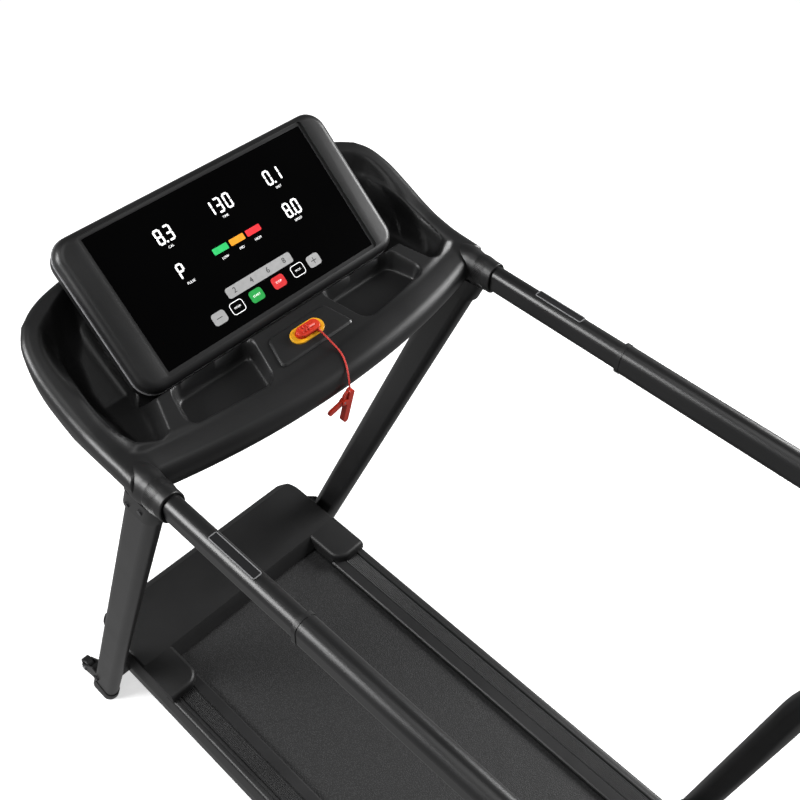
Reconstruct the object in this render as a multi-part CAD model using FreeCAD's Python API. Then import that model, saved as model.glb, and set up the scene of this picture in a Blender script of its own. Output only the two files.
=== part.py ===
"""Treadmill with long handrails that come down to the floor beside the deck.

Millimetres. +X is the walker's right, +Y is forwards to the console, +Z is up.
The origin is on the floor, under the middle of the machine.
"""
import FreeCAD, Part
import math
import os

V = FreeCAD.Vector
ALONG_X = V(1, 0, 0)

# ------------------------------------------------------------------ driving dimensions
# Deck
DECK_REAR_Y = -700.0
NOSE_Y = 700.0
BELT_WIDTH = 400.0
BELT_THICK = 1.6
BELT_TOP_Z = 146.0
ROLLER_R = 24.0
ROLLER_WALL = 3.0
ROLLER_OVERHANG = 5.0
FRONT_ROLLER_Y = 572.0
REAR_ROLLER_Y = -655.0
AXLE_R = 6.0
BEARING_WIDTH = 12.0
BOARD_THICK = 18.0
BOARD_OVERHANG = 32.0
BOARD_REAR_Y = -600.0
BOARD_FRONT_Y = 520.0
CUSHION_R = 14.0
CUSHION_THICK = 8.4
BEAM_WIDTH = 30.0
BEAM_BOTTOM_Z = 42.0
BEAM_TOP_Z = 122.0
BEAM_WALL = 2.0
BEAM_FRONT_Y = 640.0
BEAM_GAP = 44.0
CROSS_TUBE_DEPTH = 40.0
CROSS_TUBE_YS = (-430.0, 0.0, 430.0)
FOOT_RAIL_WIDTH = 80.0
FOOT_RAIL_TOP_Z = 161.0
FOOT_RAIL_SKIN = 3.0
FOOT_RAIL_SKIRT_Z = 100.0
FOOT_RAIL_REAR_Y = -660.0
FOOT_RAIL_FRONT_Y = 430.0
CAP_WALL = 3.0
REAR_PAD_R = 18.0
REAR_PAD_Y = -600.0

# Drive
MOTOR_Y = 645.0
MOTOR_Z = 98.0
MOTOR_R = 43.0
MOTOR_WALL = 4.0
MOTOR_X0 = -60.0
MOTOR_X1 = 130.0
SHAFT_R = 5.0
ARMATURE_R = 30.0
FLYWHEEL_R = 36.0
FLYWHEEL_WIDTH = 14.0
MOTOR_PULLEY_R = 16.0
ROLLER_PULLEY_R = 32.0
PULLEY_WIDTH = 20.0
DRIVE_BELT_THICK = 2.5
MOUNT_THICK = 4.0
MOUNT_Z = 46.0

# Motor hood
HOOD_TOP_Z = 187.0
HOOD_WALL = 3.0
HOOD_REAR_Y = 492.0
HOOD_REAR_TOP_Y = 509.0
HOOD_CREASE_Y = 525.0
HOOD_FRONT_TOP_Y = 660.0
HOOD_ARM_REAR_Y = 408.0
HOOD_ARM_TOP_Z = 183.0
HOOD_ARM_CORNER_R = 34.0
HOOD_SIDE_BOTTOM_Z = 100.0
HOOD_NOSE_R = 70.0
HOOD_EDGE_R = 7.0

# Front uprights
TUBE_GAP = 47.0
UPRIGHT_DEPTH = 64.0
UPRIGHT_THICK = 32.0
TUBE_WALL = 1.8
UPRIGHT_FOOT_Y = 627.0
UPRIGHT_LEAN = 20.5
WHEEL_R = 20.0
WHEEL_WIDTH = 18.0
WHEEL_AHEAD = 52.0
WHEEL_Z = 41.0
WHEEL_AXLE_R = 4.0
BOLT_R = 4.0
BOLT_REACH = 2.2

# Handrails
HANDRAIL_Z = 1128.0
GRIP_THICK = 30.0
GRIP_TALL = 46.0
GRIP_JOINT_Y = -101.0
GRIP_PLUG = 60.0
HANDRAIL_THICK = 34.0
HANDRAIL_TALL = 52.0
JOINT_RING = 7.0
LEG_FOOT_Y = -484.0
LEG_LEAN = 7.1
KNEE_Z = 645.0
KNEE_R = 400.0
UPPER_LEG_LEAN = 14.0
RAIL_BEND_R = 130.0

# Console, measured from its lip: forwards of the lip and up from the handrail's centre
LIP_AHEAD_OF_UPRIGHT = -45.2
TUB_OVER_TUBE = 25.0
TUB_WALL = 3.0
TUB_FLOOR = -20.0
TUB_FLAT = 190.0
TUB_REAR_RISE = 85.0
COLLAR_WALL = 5.0
COLLAR_LENGTH = 60.0
TRAY_RISE = 0.19
TRAY_HEIGHT = 28.0
POD_TILT = 40.0
GLASS_WIDTH = 404.0
GLASS_HEIGHT = 217.0
GLASS_THICK = 3.0
GLASS_AHEAD = 155.0
GLASS_UP = 49.0
BEZEL_SIDE = 47.0
BEZEL_TOP = 15.0
BEZEL_BOTTOM = 19.0
BEZEL_DEPTH = 20.0
POD_DEPTH = 50.0
POD_CORNER_R = 32.0
POD_INSET = 2.0
POD_WALL = 2.5

# Safety key and its cord
SOCKET_LENGTH = 60.0
SOCKET_WIDTH = 28.0
SOCKET_RIM = 3.0
SOCKET_AHEAD = 89.0
KEY_LENGTH = 42.0
KEY_WIDTH = 17.0
KEY_HEIGHT = 9.0
KEY_SEAT = 2.0
CORD_DIAMETER = 2.6
CLIP_LENGTH = 60.0
CLIP_WIDTH = 10.0
CLIP_THICK = 9.0
CLIP_CHEEK = 1.8
CLIP_ABOVE_PIN = 20.0
CLIP_PIN_R = 1.5
CLIP_PIN_OUT = 10.5
CLIP_EYE_R = 4.5
CLIP_LEVER = 32.0
CLIP_LEVER_ANGLE = 62.0
CLIP_TILT = 15.0
CORD_SEAT = 3.0

# Clearances
RUN_FIT = 0.05
ROLL_GAP = 0.3
LOOSE = 0.4
SLIP = 0.2

# ------------------------------------------------------------------ sizes that follow
BOARD_TOP_Z = BELT_TOP_Z - BELT_THICK
ROLLER_Z = BOARD_TOP_Z - ROLL_GAP - ROLLER_R
BELT_IN_R = ROLLER_R + ROLL_GAP
BELT_OUT_R = BELT_IN_R + BELT_THICK
BELT_HALF = BELT_WIDTH / 2
BOARD_HALF = BELT_HALF + BOARD_OVERHANG
BOARD_BOTTOM_Z = BOARD_TOP_Z - BOARD_THICK
CUSHION_BOTTOM_Z = BOARD_BOTTOM_Z - CUSHION_THICK
CROSS_TUBE_BOTTOM_Z = ROLLER_Z - BELT_IN_R + 2.2
BEAM_IN_X = BELT_HALF + BEAM_GAP
BEAM_OUT_X = BEAM_IN_X + BEAM_WIDTH
DECK_HALF = BELT_HALF + FOOT_RAIL_WIDTH
TUBE_X = DECK_HALF + TUBE_GAP
LEAN = math.radians(UPRIGHT_LEAN)
UPRIGHT_TOP_Y = UPRIGHT_FOOT_Y - HANDRAIL_Z * math.tan(LEAN)
LIP_Y = UPRIGHT_TOP_Y + LIP_AHEAD_OF_UPRIGHT
TUB_HALF = TUBE_X + TUB_OVER_TUBE
WHEEL_Y = UPRIGHT_FOOT_Y + WHEEL_AHEAD
PULLEY_X = BELT_HALF + 8.0
POD_Y = LIP_Y + GLASS_AHEAD
POD_Z = HANDRAIL_Z + GLASS_UP
BEZEL_HALF = GLASS_WIDTH / 2 + BEZEL_SIDE


# ------------------------------------------------------------------ helpers
def box(x0, x1, y0, y1, z0, z1):
    return Part.makeBox(x1 - x0, y1 - y0, z1 - z0, V(x0, y0, z0))


def rod_x(radius, x0, x1, y, z):
    return Part.makeCylinder(radius, x1 - x0, V(x0, y, z), V(1, 0, 0))


def rod_y(radius, x, y0, y1, z):
    return Part.makeCylinder(radius, y1 - y0, V(x, y0, z), V(0, 1, 0))


def rod_z(radius, x, y, z0, z1):
    return Part.makeCylinder(radius, z1 - z0, V(x, y, z0), V(0, 0, 1))


def polygon(points):
    return Part.Face(Part.makePolygon(list(points) + [points[0]]))


def prism_x(outline, x0, x1):
    """Extrude a (y, z) outline across the machine."""
    return polygon([V(x0, y, z) for y, z in outline]).extrude(V(x1 - x0, 0, 0))


def prism_y(outline, y0, y1):
    """Extrude an (x, z) outline along the machine."""
    return polygon([V(x, y0, z) for x, z in outline]).extrude(V(0, y1 - y0, 0))


def prism_z(outline, z0, z1):
    """Extrude an (x, y) outline upwards."""
    return polygon([V(x, y, z0) for x, y in outline]).extrude(V(0, 0, z1 - z0))


def fuse(shapes):
    whole = shapes[0]
    for extra in shapes[1:]:
        whole = whole.fuse(extra)
    return whole.removeSplitter()


def cut(shape, *tools):
    for tool in tools:
        shape = shape.cut(tool)
    return shape


def mirrored(shape):
    return shape.mirror(V(0, 0, 0), V(1, 0, 0))


def both(shape):
    return Part.makeCompound([shape, mirrored(shape)])


def group(shapes):
    return Part.makeCompound(list(shapes))


def obround_face(tall, thick):
    """Flat-sided oval in the local XY plane, its long way along Y."""
    radius = thick / 2
    half = tall / 2 - radius
    right = Part.LineSegment(V(radius, -half, 0), V(radius, half, 0)).toShape()
    top = Part.Arc(V(radius, half, 0), V(0, half + radius, 0), V(-radius, half, 0)).toShape()
    left = Part.LineSegment(V(-radius, half, 0), V(-radius, -half, 0)).toShape()
    bottom = Part.Arc(V(-radius, -half, 0), V(0, -half - radius, 0), V(radius, -half, 0)).toShape()
    return Part.Face(Part.Wire([right, top, left, bottom]))


def leaned(shape, x, y, z, lean):
    """Turn a local shape about X, so that its +Z leans towards -Y, and put it in place."""
    shape.Placement = FreeCAD.Placement(V(x, y, z), FreeCAD.Rotation(ALONG_X, math.degrees(lean)))
    return shape


def oval_bar(x, y, z, lean, length, tall, thick, start=0.0):
    """Solid oval bar that starts `start` up a leaning line through the given point."""
    bar = obround_face(tall, thick)
    bar = bar.extrude(V(0, 0, length))
    bar.translate(V(0, 0, start))
    moved = Part.makeCompound([bar])
    return leaned(moved, x, y, z, lean).Solids[0]


def oval_sweep(route, radii, x, tall, thick):
    """Oval solid along straight runs joined by tangent arcs, all in one fore-and-aft plane."""
    pieces = []
    start = route[0]
    for index in range(1, len(route)):
        here = route[index]
        run_in = (here[0] - start[0], here[1] - start[1])
        length = math.hypot(*run_in)
        step = (run_in[0] / length, run_in[1] / length)
        lean = math.atan2(-step[0], step[1])
        if index == len(route) - 1:
            pieces.append(oval_bar(x, start[0], start[1], lean, length, tall, thick))
            break
        after = route[index + 1]
        run_out = (after[0] - here[0], after[1] - here[1])
        out_length = math.hypot(*run_out)
        out = (run_out[0] / out_length, run_out[1] / out_length)
        side = step[0] * out[1] - step[1] * out[0]
        turn = math.atan2(side, step[0] * out[0] + step[1] * out[1])
        radius = radii[index - 1]
        setback = radius * math.tan(abs(turn) / 2)
        pieces.append(oval_bar(x, start[0], start[1], lean, length - setback, tall, thick))
        bend = (here[0] - step[0] * setback, here[1] - step[1] * setback)
        sign = math.copysign(1.0, turn)
        centre = V(0, bend[0] - sign * step[1] * radius, bend[1] + sign * step[0] * radius)
        section = leaned(obround_face(tall, thick), x, bend[0], bend[1], lean)
        pieces.append(section.revolve(centre, ALONG_X, math.degrees(turn)))
        start = (here[0] + out[0] * setback, here[1] + out[1] * setback)
    return fuse(pieces)


def rounded_plate(half_width, y0, y1, thick, corner, depth=0.0):
    """Plate in the local XY plane with four round corners; its face is at -depth."""
    plate = box(-half_width, half_width, y0, y1, -depth - thick, -depth)
    upright_edges = [e for e in plate.Edges if abs(e.BoundBox.ZLength - thick) < 1e-6]
    return plate.makeFillet(corner, upright_edges)


def band(front, front_r, rear, rear_r, x0, x1):
    """Solid bounded by a tight line round two circles in the (y, z) plane."""
    dy = front[0] - rear[0]
    dz = front[1] - rear[1]
    reach = math.hypot(dy, dz)
    heading = math.atan2(dz, dy)
    open_angle = math.acos((rear_r - front_r) / reach)

    def rim(centre, radius, angle):
        return V(x0, centre[0] + radius * math.cos(angle), centre[1] + radius * math.sin(angle))

    up = heading + open_angle
    down = heading - open_angle
    edges = [
        Part.LineSegment(rim(rear, rear_r, up), rim(front, front_r, up)).toShape(),
        Part.Arc(rim(front, front_r, up), rim(front, front_r, heading), rim(front, front_r, down)).toShape(),
        Part.LineSegment(rim(front, front_r, down), rim(rear, rear_r, down)).toShape(),
        Part.Arc(rim(rear, rear_r, down), rim(rear, rear_r, heading + math.pi), rim(rear, rear_r, up)).toShape(),
    ]
    return Part.Face(Part.Wire(edges)).extrude(V(x1 - x0, 0, 0))


def hex_head(across, height):
    radius = across / math.sqrt(3)
    corners = [(radius * math.cos(k * math.pi / 3), radius * math.sin(k * math.pi / 3)) for k in range(6)]
    return prism_z(corners, 0, height)


def bolt_x(x, y, z, length, towards, radius=BOLT_R, across=13.0, head=4.0):
    """Hexagon bolt with its head's seat at x; `towards` is -1 or 1, the way its shank goes in X."""
    bolt = fuse([hex_head(across, head), rod_z(radius, 0, 0, -length, 0)])
    bolt.Placement = FreeCAD.Placement(V(x, y, z), FreeCAD.Rotation(V(0, 1, 0), -90.0 * towards))
    return bolt


def on_pod(shape):
    """Carry a shape from the display's own plane (X across, Y up the glass, Z out) to its place."""
    shape.Placement = FreeCAD.Placement(V(0, POD_Y, POD_Z), FreeCAD.Rotation(ALONG_X, POD_TILT))
    return shape


# ------------------------------------------------------------------ deck structure
def side_beam():
    outer = box(BEAM_IN_X, BEAM_OUT_X, FOOT_RAIL_REAR_Y - 10, BEAM_FRONT_Y, BEAM_BOTTOM_Z, BEAM_TOP_Z)
    inner = box(BEAM_IN_X + BEAM_WALL, BEAM_OUT_X - BEAM_WALL, FOOT_RAIL_REAR_Y - 11, BEAM_FRONT_Y + 1,
                BEAM_BOTTOM_Z + BEAM_WALL, BEAM_TOP_Z - BEAM_WALL)
    plate = box(BELT_HALF + 8, BEAM_IN_X, FOOT_RAIL_REAR_Y - 10, FOOT_RAIL_REAR_Y - 6, 98, BEAM_TOP_Z)
    hole = rod_y(4.5, tension_bolt_x(), FOOT_RAIL_REAR_Y - 12, FOOT_RAIL_REAR_Y - 4, ROLLER_Z)
    return cut(fuse([outer.cut(inner), plate]), hole)


def tension_bolt_x():
    return BELT_HALF + 25.0


def cross_tubes():
    tubes = []
    for y in CROSS_TUBE_YS:
        outer = box(-BEAM_IN_X, BEAM_IN_X, y - CROSS_TUBE_DEPTH / 2, y + CROSS_TUBE_DEPTH / 2,
                    CROSS_TUBE_BOTTOM_Z, CUSHION_BOTTOM_Z)
        inner = box(-BEAM_IN_X, BEAM_IN_X, y - CROSS_TUBE_DEPTH / 2 + BEAM_WALL,
                    y + CROSS_TUBE_DEPTH / 2 - BEAM_WALL, CROSS_TUBE_BOTTOM_Z + BEAM_WALL,
                    CUSHION_BOTTOM_Z - BEAM_WALL)
        tubes.append(outer.cut(inner))
    return group(tubes)


def deck_cushions():
    x = BOARD_HALF - 2 * CUSHION_R
    pads = []
    for y in CROSS_TUBE_YS:
        pads.append(rod_z(CUSHION_R, x, y, CUSHION_BOTTOM_Z, BOARD_BOTTOM_Z))
        pads.append(rod_z(CUSHION_R, -x, y, CUSHION_BOTTOM_Z, BOARD_BOTTOM_Z))
    return group(pads)


def running_board():
    return box(-BOARD_HALF, BOARD_HALF, BOARD_REAR_Y, BOARD_FRONT_Y, BOARD_BOTTOM_Z, BOARD_TOP_Z)


def running_belt():
    front = (FRONT_ROLLER_Y, ROLLER_Z)
    rear = (REAR_ROLLER_Y, ROLLER_Z)
    outer = band(front, BELT_OUT_R, rear, BELT_OUT_R, -BELT_HALF, BELT_HALF)
    return outer.cut(band(front, BELT_IN_R, rear, BELT_IN_R, -BELT_HALF, BELT_HALF))


def roller_tube(y):
    half = BELT_HALF + ROLLER_OVERHANG
    tube = rod_x(ROLLER_R, -half, half, y, ROLLER_Z)
    return tube.cut(rod_x(ROLLER_R - ROLLER_WALL, -half, half, y, ROLLER_Z))


def front_roller():
    """Steel tube with the ribbed pulley pressed on its left end."""
    left = -(PULLEY_X + PULLEY_WIDTH)
    pulley = rod_x(ROLLER_PULLEY_R, left, -PULLEY_X, FRONT_ROLLER_Y, ROLLER_Z)
    neck = rod_x(ROLLER_R, -PULLEY_X, -BELT_HALF - ROLLER_OVERHANG, FRONT_ROLLER_Y, ROLLER_Z)
    bore = rod_x(AXLE_R + 2, left, -BELT_HALF - ROLLER_OVERHANG, FRONT_ROLLER_Y, ROLLER_Z)
    pulley = fuse([pulley, neck]).cut(bore)
    for flange in (left, -PULLEY_X - 2):
        rim = rod_x(ROLLER_PULLEY_R + 2, flange, flange + 2, FRONT_ROLLER_Y, ROLLER_Z)
        pulley = pulley.fuse(rim.cut(rod_x(AXLE_R + 2, flange, flange + 2, FRONT_ROLLER_Y, ROLLER_Z)))
    return fuse([roller_tube(FRONT_ROLLER_Y), pulley])


def roller_bearings(y):
    half = BELT_HALF + ROLLER_OVERHANG
    rings = []
    for x0 in (-half, half - BEARING_WIDTH):
        ring = rod_x(ROLLER_R - ROLLER_WALL, x0, x0 + BEARING_WIDTH, y, ROLLER_Z)
        rings.append(ring.cut(rod_x(AXLE_R + RUN_FIT, x0, x0 + BEARING_WIDTH, y, ROLLER_Z)))
    return group(rings)


def roller_axles():
    front = rod_x(AXLE_R, -BEAM_IN_X, BEAM_IN_X, FRONT_ROLLER_Y, ROLLER_Z)
    rear = rod_x(AXLE_R, -BEAM_IN_X, BEAM_IN_X, REAR_ROLLER_Y, ROLLER_Z)
    for side in (-1, 1):
        rear = rear.cut(rod_y(4.0, side * tension_bolt_x(), REAR_ROLLER_Y - 20, REAR_ROLLER_Y + 20, ROLLER_Z))
    return group([front, rear])


def tension_bolts():
    """Socket screws through the end caps and beam plates into the rear axle."""
    head = rod_y(6.5, tension_bolt_x(), DECK_REAR_Y + 5, DECK_REAR_Y + 13, ROLLER_Z)
    socket = rod_y(3.0, tension_bolt_x(), DECK_REAR_Y + 5, DECK_REAR_Y + 9, ROLLER_Z)
    shank = rod_y(4.0, tension_bolt_x(), DECK_REAR_Y + 13, REAR_ROLLER_Y + 14, ROLLER_Z)
    return both(fuse([head, shank]).cut(socket))


def foot_rail():
    """Hollow foot rail: a slope beside the belt, ribs on top, a round outer edge and a skirt."""
    inner = BELT_HALF
    outer = DECK_HALF
    top = FOOT_RAIL_TOP_Z
    skin = FOOT_RAIL_SKIN
    edge = 15.0
    groove_xs = (23.0, 40.0, 53.0, 60.0)
    groove_width = 2.0
    groove_depth = 1.4
    surface = [(inner, top - 12.5), (inner, top - 8), (inner + 20, top)]
    for start in groove_xs:
        surface += [(inner + start, top), (inner + start, top - groove_depth),
                    (inner + start + groove_width, top - groove_depth), (inner + start + groove_width, top)]
    steps = 6
    for k in range(steps + 1):
        angle = math.pi / 2 * (1 - k / steps)
        surface.append((outer - edge + edge * math.cos(angle), top - edge + edge * math.sin(angle)))
    surface.append((outer, FOOT_RAIL_SKIRT_Z))
    surface.append((outer - skin, FOOT_RAIL_SKIRT_Z))
    inside_edge = edge - skin
    for k in range(steps + 1):
        angle = math.pi / 2 * (k / steps)
        surface.append((outer - edge + inside_edge * math.cos(angle), top - edge + inside_edge * math.sin(angle)))
    surface += [(inner + 20 + skin / 2, top - skin), (inner + skin, top - 10.5), (inner + skin, top - 12.5)]
    rail = prism_y(surface, FOOT_RAIL_REAR_Y, FOOT_RAIL_FRONT_Y)
    webs = [box(x, x + skin, FOOT_RAIL_REAR_Y, FOOT_RAIL_FRONT_Y, BEAM_TOP_Z, top - skin / 2)
            for x in (BEAM_IN_X + 2, BEAM_OUT_X - 6)]
    return fuse([rail] + webs)


def rear_end_cap():
    """Moulded cap over the rear end of a foot rail and its beam."""
    x0 = BELT_HALF + 7
    block = box(x0, DECK_HALF, DECK_REAR_Y, FOOT_RAIL_REAR_Y, BEAM_BOTTOM_Z, FOOT_RAIL_TOP_Z)
    outer_edges = [e for e in block.Edges
                   if e.BoundBox.ZLength > 1 and e.BoundBox.XMin > DECK_HALF - 1 and e.BoundBox.YMax < DECK_REAR_Y + 1]
    block = block.makeFillet(24.0, outer_edges)
    top_edges = [e for e in block.Edges if e.BoundBox.ZMin > FOOT_RAIL_TOP_Z - 1
                 and e.BoundBox.YMax < FOOT_RAIL_REAR_Y - 1]
    block = block.makeFillet(8.0, top_edges)
    hollow = box(x0 + CAP_WALL, DECK_HALF - CAP_WALL, DECK_REAR_Y + CAP_WALL + 12, FOOT_RAIL_REAR_Y,
                 BEAM_BOTTOM_Z + CAP_WALL, FOOT_RAIL_TOP_Z - CAP_WALL)
    notch = box(x0, BEAM_OUT_X, FOOT_RAIL_REAR_Y - 10, FOOT_RAIL_REAR_Y, BEAM_BOTTOM_Z, BEAM_TOP_Z)
    recess = rod_y(9.0, tension_bolt_x(), DECK_REAR_Y, DECK_REAR_Y + 13, ROLLER_Z)
    clearance = rod_y(4.5, tension_bolt_x(), DECK_REAR_Y, FOOT_RAIL_REAR_Y, ROLLER_Z)
    axle = rod_x(AXLE_R + LOOSE, 0, BEAM_IN_X + 1, REAR_ROLLER_Y, ROLLER_Z)
    return cut(block, hollow, notch, recess, clearance, axle)


def rear_foot_pads():
    pad_x = (BEAM_IN_X + BEAM_OUT_X) / 2
    cone = Part.makeCone(REAR_PAD_R + 3, REAR_PAD_R, 8, V(pad_x, REAR_PAD_Y, 0))
    post = rod_z(REAR_PAD_R - 3, pad_x, REAR_PAD_Y, 8, BEAM_BOTTOM_Z)
    return both(fuse([cone, post]))


# ------------------------------------------------------------------ drive
def motor_housing():
    can = rod_x(MOTOR_R, MOTOR_X0, MOTOR_X1, MOTOR_Y, MOTOR_Z)
    hollow = rod_x(MOTOR_R - MOTOR_WALL, MOTOR_X0 + MOTOR_WALL, MOTOR_X1 - MOTOR_WALL, MOTOR_Y, MOTOR_Z)
    return cut(can, hollow, rod_x(SHAFT_R + RUN_FIT, MOTOR_X0 - 1, MOTOR_X1 + 1, MOTOR_Y, MOTOR_Z))


def motor_armature():
    shaft = rod_x(SHAFT_R, -(PULLEY_X + PULLEY_WIDTH), MOTOR_X1 + FLYWHEEL_WIDTH + 10, MOTOR_Y, MOTOR_Z)
    core = rod_x(ARMATURE_R, MOTOR_X0 + 30, MOTOR_X1 - 30, MOTOR_Y, MOTOR_Z)
    return fuse([shaft, core])


def motor_pulley():
    left = -(PULLEY_X + PULLEY_WIDTH)
    pulley = rod_x(MOTOR_PULLEY_R, left, -PULLEY_X, MOTOR_Y, MOTOR_Z)
    flange = rod_x(MOTOR_PULLEY_R + 2, -PULLEY_X, -PULLEY_X + 3, MOTOR_Y, MOTOR_Z)
    return fuse([pulley, flange]).cut(rod_x(SHAFT_R, left, -PULLEY_X + 3, MOTOR_Y, MOTOR_Z))


def motor_flywheel():
    x0 = MOTOR_X1 + 5
    wheel = rod_x(FLYWHEEL_R, x0, x0 + FLYWHEEL_WIDTH, MOTOR_Y, MOTOR_Z)
    return wheel.cut(rod_x(SHAFT_R, x0, x0 + FLYWHEEL_WIDTH, MOTOR_Y, MOTOR_Z))


def drive_belt():
    x0 = -(PULLEY_X + PULLEY_WIDTH - 4)
    x1 = -PULLEY_X - 4
    motor = (MOTOR_Y, MOTOR_Z)
    roller = (FRONT_ROLLER_Y, ROLLER_Z)
    inner = band(motor, MOTOR_PULLEY_R + ROLL_GAP, roller, ROLLER_PULLEY_R + ROLL_GAP, x0, x1)
    outer = band(motor, MOTOR_PULLEY_R + ROLL_GAP + DRIVE_BELT_THICK,
                 roller, ROLLER_PULLEY_R + ROLL_GAP + DRIVE_BELT_THICK, x0, x1)
    return outer.cut(inner)


def motor_mount():
    plate = box(-BEAM_IN_X, BEAM_IN_X, 606, NOSE_Y - 20, MOUNT_Z, MOUNT_Z + MOUNT_THICK)
    saddle = box(MOTOR_X0 + 15, MOTOR_X1 - 15, MOTOR_Y - 24, MOTOR_Y + 24, MOUNT_Z + MOUNT_THICK,
                 MOTOR_Z - MOTOR_R + 10)
    saddle = saddle.cut(rod_x(MOTOR_R, MOTOR_X0, MOTOR_X1, MOTOR_Y, MOTOR_Z))
    return fuse([plate, saddle])


def motor_controller():
    base_z = MOUNT_Z + MOUNT_THICK
    case = box(-195, -85, 612, 680, base_z, base_z + 26)
    fins = [box(-190, -90, y, y + 2, base_z + 26, base_z + 34) for y in range(616, 676, 8)]
    return fuse([case] + fins)


def nose_plan(inset):
    """Tall block over the deck's front whose two front corners are round, drawn in by `inset`."""
    half = DECK_HALF - inset
    front = NOSE_Y - inset
    block = box(-half, half, FOOT_RAIL_FRONT_Y, front, 0, HOOD_TOP_Z + 10)
    corners = [e for e in block.Edges if e.BoundBox.ZLength > 1 and e.BoundBox.YMin > front - 1]
    return block.makeFillet(HOOD_NOSE_R - inset, corners)


def motor_hood():
    half = DECK_HALF
    wall = HOOD_WALL
    bottom = BEAM_BOTTOM_Z
    outline = [(HOOD_REAR_Y, BELT_TOP_Z + 5), (HOOD_REAR_TOP_Y, HOOD_ARM_TOP_Z), (HOOD_CREASE_Y, HOOD_TOP_Z),
               (HOOD_FRONT_TOP_Y, HOOD_TOP_Z), (HOOD_FRONT_TOP_Y + 22, HOOD_TOP_Z - 16),
               (NOSE_Y, 130), (NOSE_Y, bottom), (HOOD_REAR_Y, bottom)]
    inside = [(HOOD_REAR_Y + wall, bottom - 1), (HOOD_REAR_Y + wall, BELT_TOP_Z + 5),
              (HOOD_REAR_TOP_Y + wall, HOOD_ARM_TOP_Z - wall), (HOOD_CREASE_Y, HOOD_TOP_Z - wall),
              (HOOD_FRONT_TOP_Y - 1, HOOD_TOP_Z - wall), (HOOD_FRONT_TOP_Y + 19, HOOD_TOP_Z - 18),
              (NOSE_Y - wall, 129), (NOSE_Y - wall, bottom - 1)]
    solid = prism_x(outline, -half, half).common(nose_plan(0.0))
    top_edges = [e for e in solid.Edges if e.BoundBox.ZMin > HOOD_TOP_Z - 30 and e.BoundBox.YMin > HOOD_REAR_TOP_Y - 1
                 and (abs(e.CenterOfMass.x) > half - HOOD_NOSE_R or e.BoundBox.YMin > HOOD_FRONT_TOP_Y - 1)]
    solid = solid.makeFillet(HOOD_EDGE_R, top_edges)
    shell = solid.cut(prism_x(inside, -half, half).common(nose_plan(wall)))
    under_rear = box(-half + wall, half - wall, HOOD_REAR_Y - 1, HOOD_REAR_TOP_Y + 20, bottom - 1, BELT_TOP_Z + 5)
    low_sides = box(-half - 1, half + 1, HOOD_REAR_Y - 1, NOSE_Y - 40, bottom - 1, HOOD_SIDE_BOTTOM_Z)
    shell = cut(shell, under_rear, low_sides)
    arms = [hood_arm(), mirrored(hood_arm())]
    inlet = box(-150, -122, NOSE_Y - wall - 1, NOSE_Y + 1, 76, 98)
    switch = box(-100, -86, NOSE_Y - wall - 1, NOSE_Y + 1, 74, 100)
    reset = rod_y(5.0, -68, NOSE_Y - wall - 1, NOSE_Y + 1, 87)
    return cut(fuse([shell] + arms), inlet, switch, reset)


def arm_block(grow, z0, z1, y0, y1):
    """Block over one foot rail with its rear inner corner rounded; `grow` draws its sides in."""
    block = box(BELT_HALF + 3 + grow, DECK_HALF - grow, y0 + grow, y1, z0, z1)
    corner = [e for e in block.Edges if e.BoundBox.ZLength > 1 and e.BoundBox.XMax < BELT_HALF + 4 + grow
              and e.BoundBox.YMax < y0 + grow + 1]
    return block.makeFillet(HOOD_ARM_CORNER_R - grow, corner)


def hood_arm():
    rail_top = FOOT_RAIL_TOP_Z + SLIP
    block = arm_block(0.0, rail_top, HOOD_ARM_TOP_Z, HOOD_ARM_REAR_Y, HOOD_REAR_TOP_Y)
    top_rear = [e for e in block.Edges if e.BoundBox.ZMin > HOOD_ARM_TOP_Z - 0.1
                and e.BoundBox.YMax < HOOD_REAR_TOP_Y - 1]
    block = block.makeFillet(9.0, top_rear)
    lower = box(BELT_HALF + 3, DECK_HALF, FOOT_RAIL_FRONT_Y + SLIP, HOOD_REAR_TOP_Y, BELT_TOP_Z + 4, rail_top + 1)
    skirt = box(DECK_HALF - HOOD_WALL, DECK_HALF, FOOT_RAIL_FRONT_Y + SLIP, HOOD_REAR_TOP_Y, HOOD_SIDE_BOTTOM_Z,
                BELT_TOP_Z + 5)
    hollow = box(BELT_HALF + 3 + HOOD_WALL, DECK_HALF - HOOD_WALL, HOOD_ARM_REAR_Y + 40, HOOD_REAR_TOP_Y - 2,
                 BELT_TOP_Z, HOOD_ARM_TOP_Z - HOOD_WALL)
    return cut(fuse([block, lower, skirt]), hollow)


def belly_pan():
    pan = box(-BEAM_OUT_X, BEAM_OUT_X, 604, NOSE_Y - HOOD_WALL - SLIP, BEAM_BOTTOM_Z - 3, BEAM_BOTTOM_Z)
    slots = [box(x, x + 4, 640, 680, BEAM_BOTTOM_Z - 4, BEAM_BOTTOM_Z + 1) for x in range(-60, 61, 12)]
    return cut(pan.common(nose_plan(HOOD_WALL + SLIP)), *slots)


def power_inlet():
    """Socket body for a mains lead, with its flange inside the nose."""
    flange = box(-156, -116, NOSE_Y - HOOD_WALL - 3, NOSE_Y - HOOD_WALL, 70, 104)
    case = box(-149.6, -122.4, NOSE_Y - 20, NOSE_Y - 0.5, 76.4, 97.6)
    mouth = box(-147.5, -124.5, NOSE_Y - 15, NOSE_Y, 78.5, 95.5)
    pins = [box(x - 1, x + 1, NOSE_Y - 16, NOSE_Y - 5, 85, 89) for x in (-141, -136, -131)]
    return fuse([fuse([flange, case]).cut(mouth)] + pins)


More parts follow.
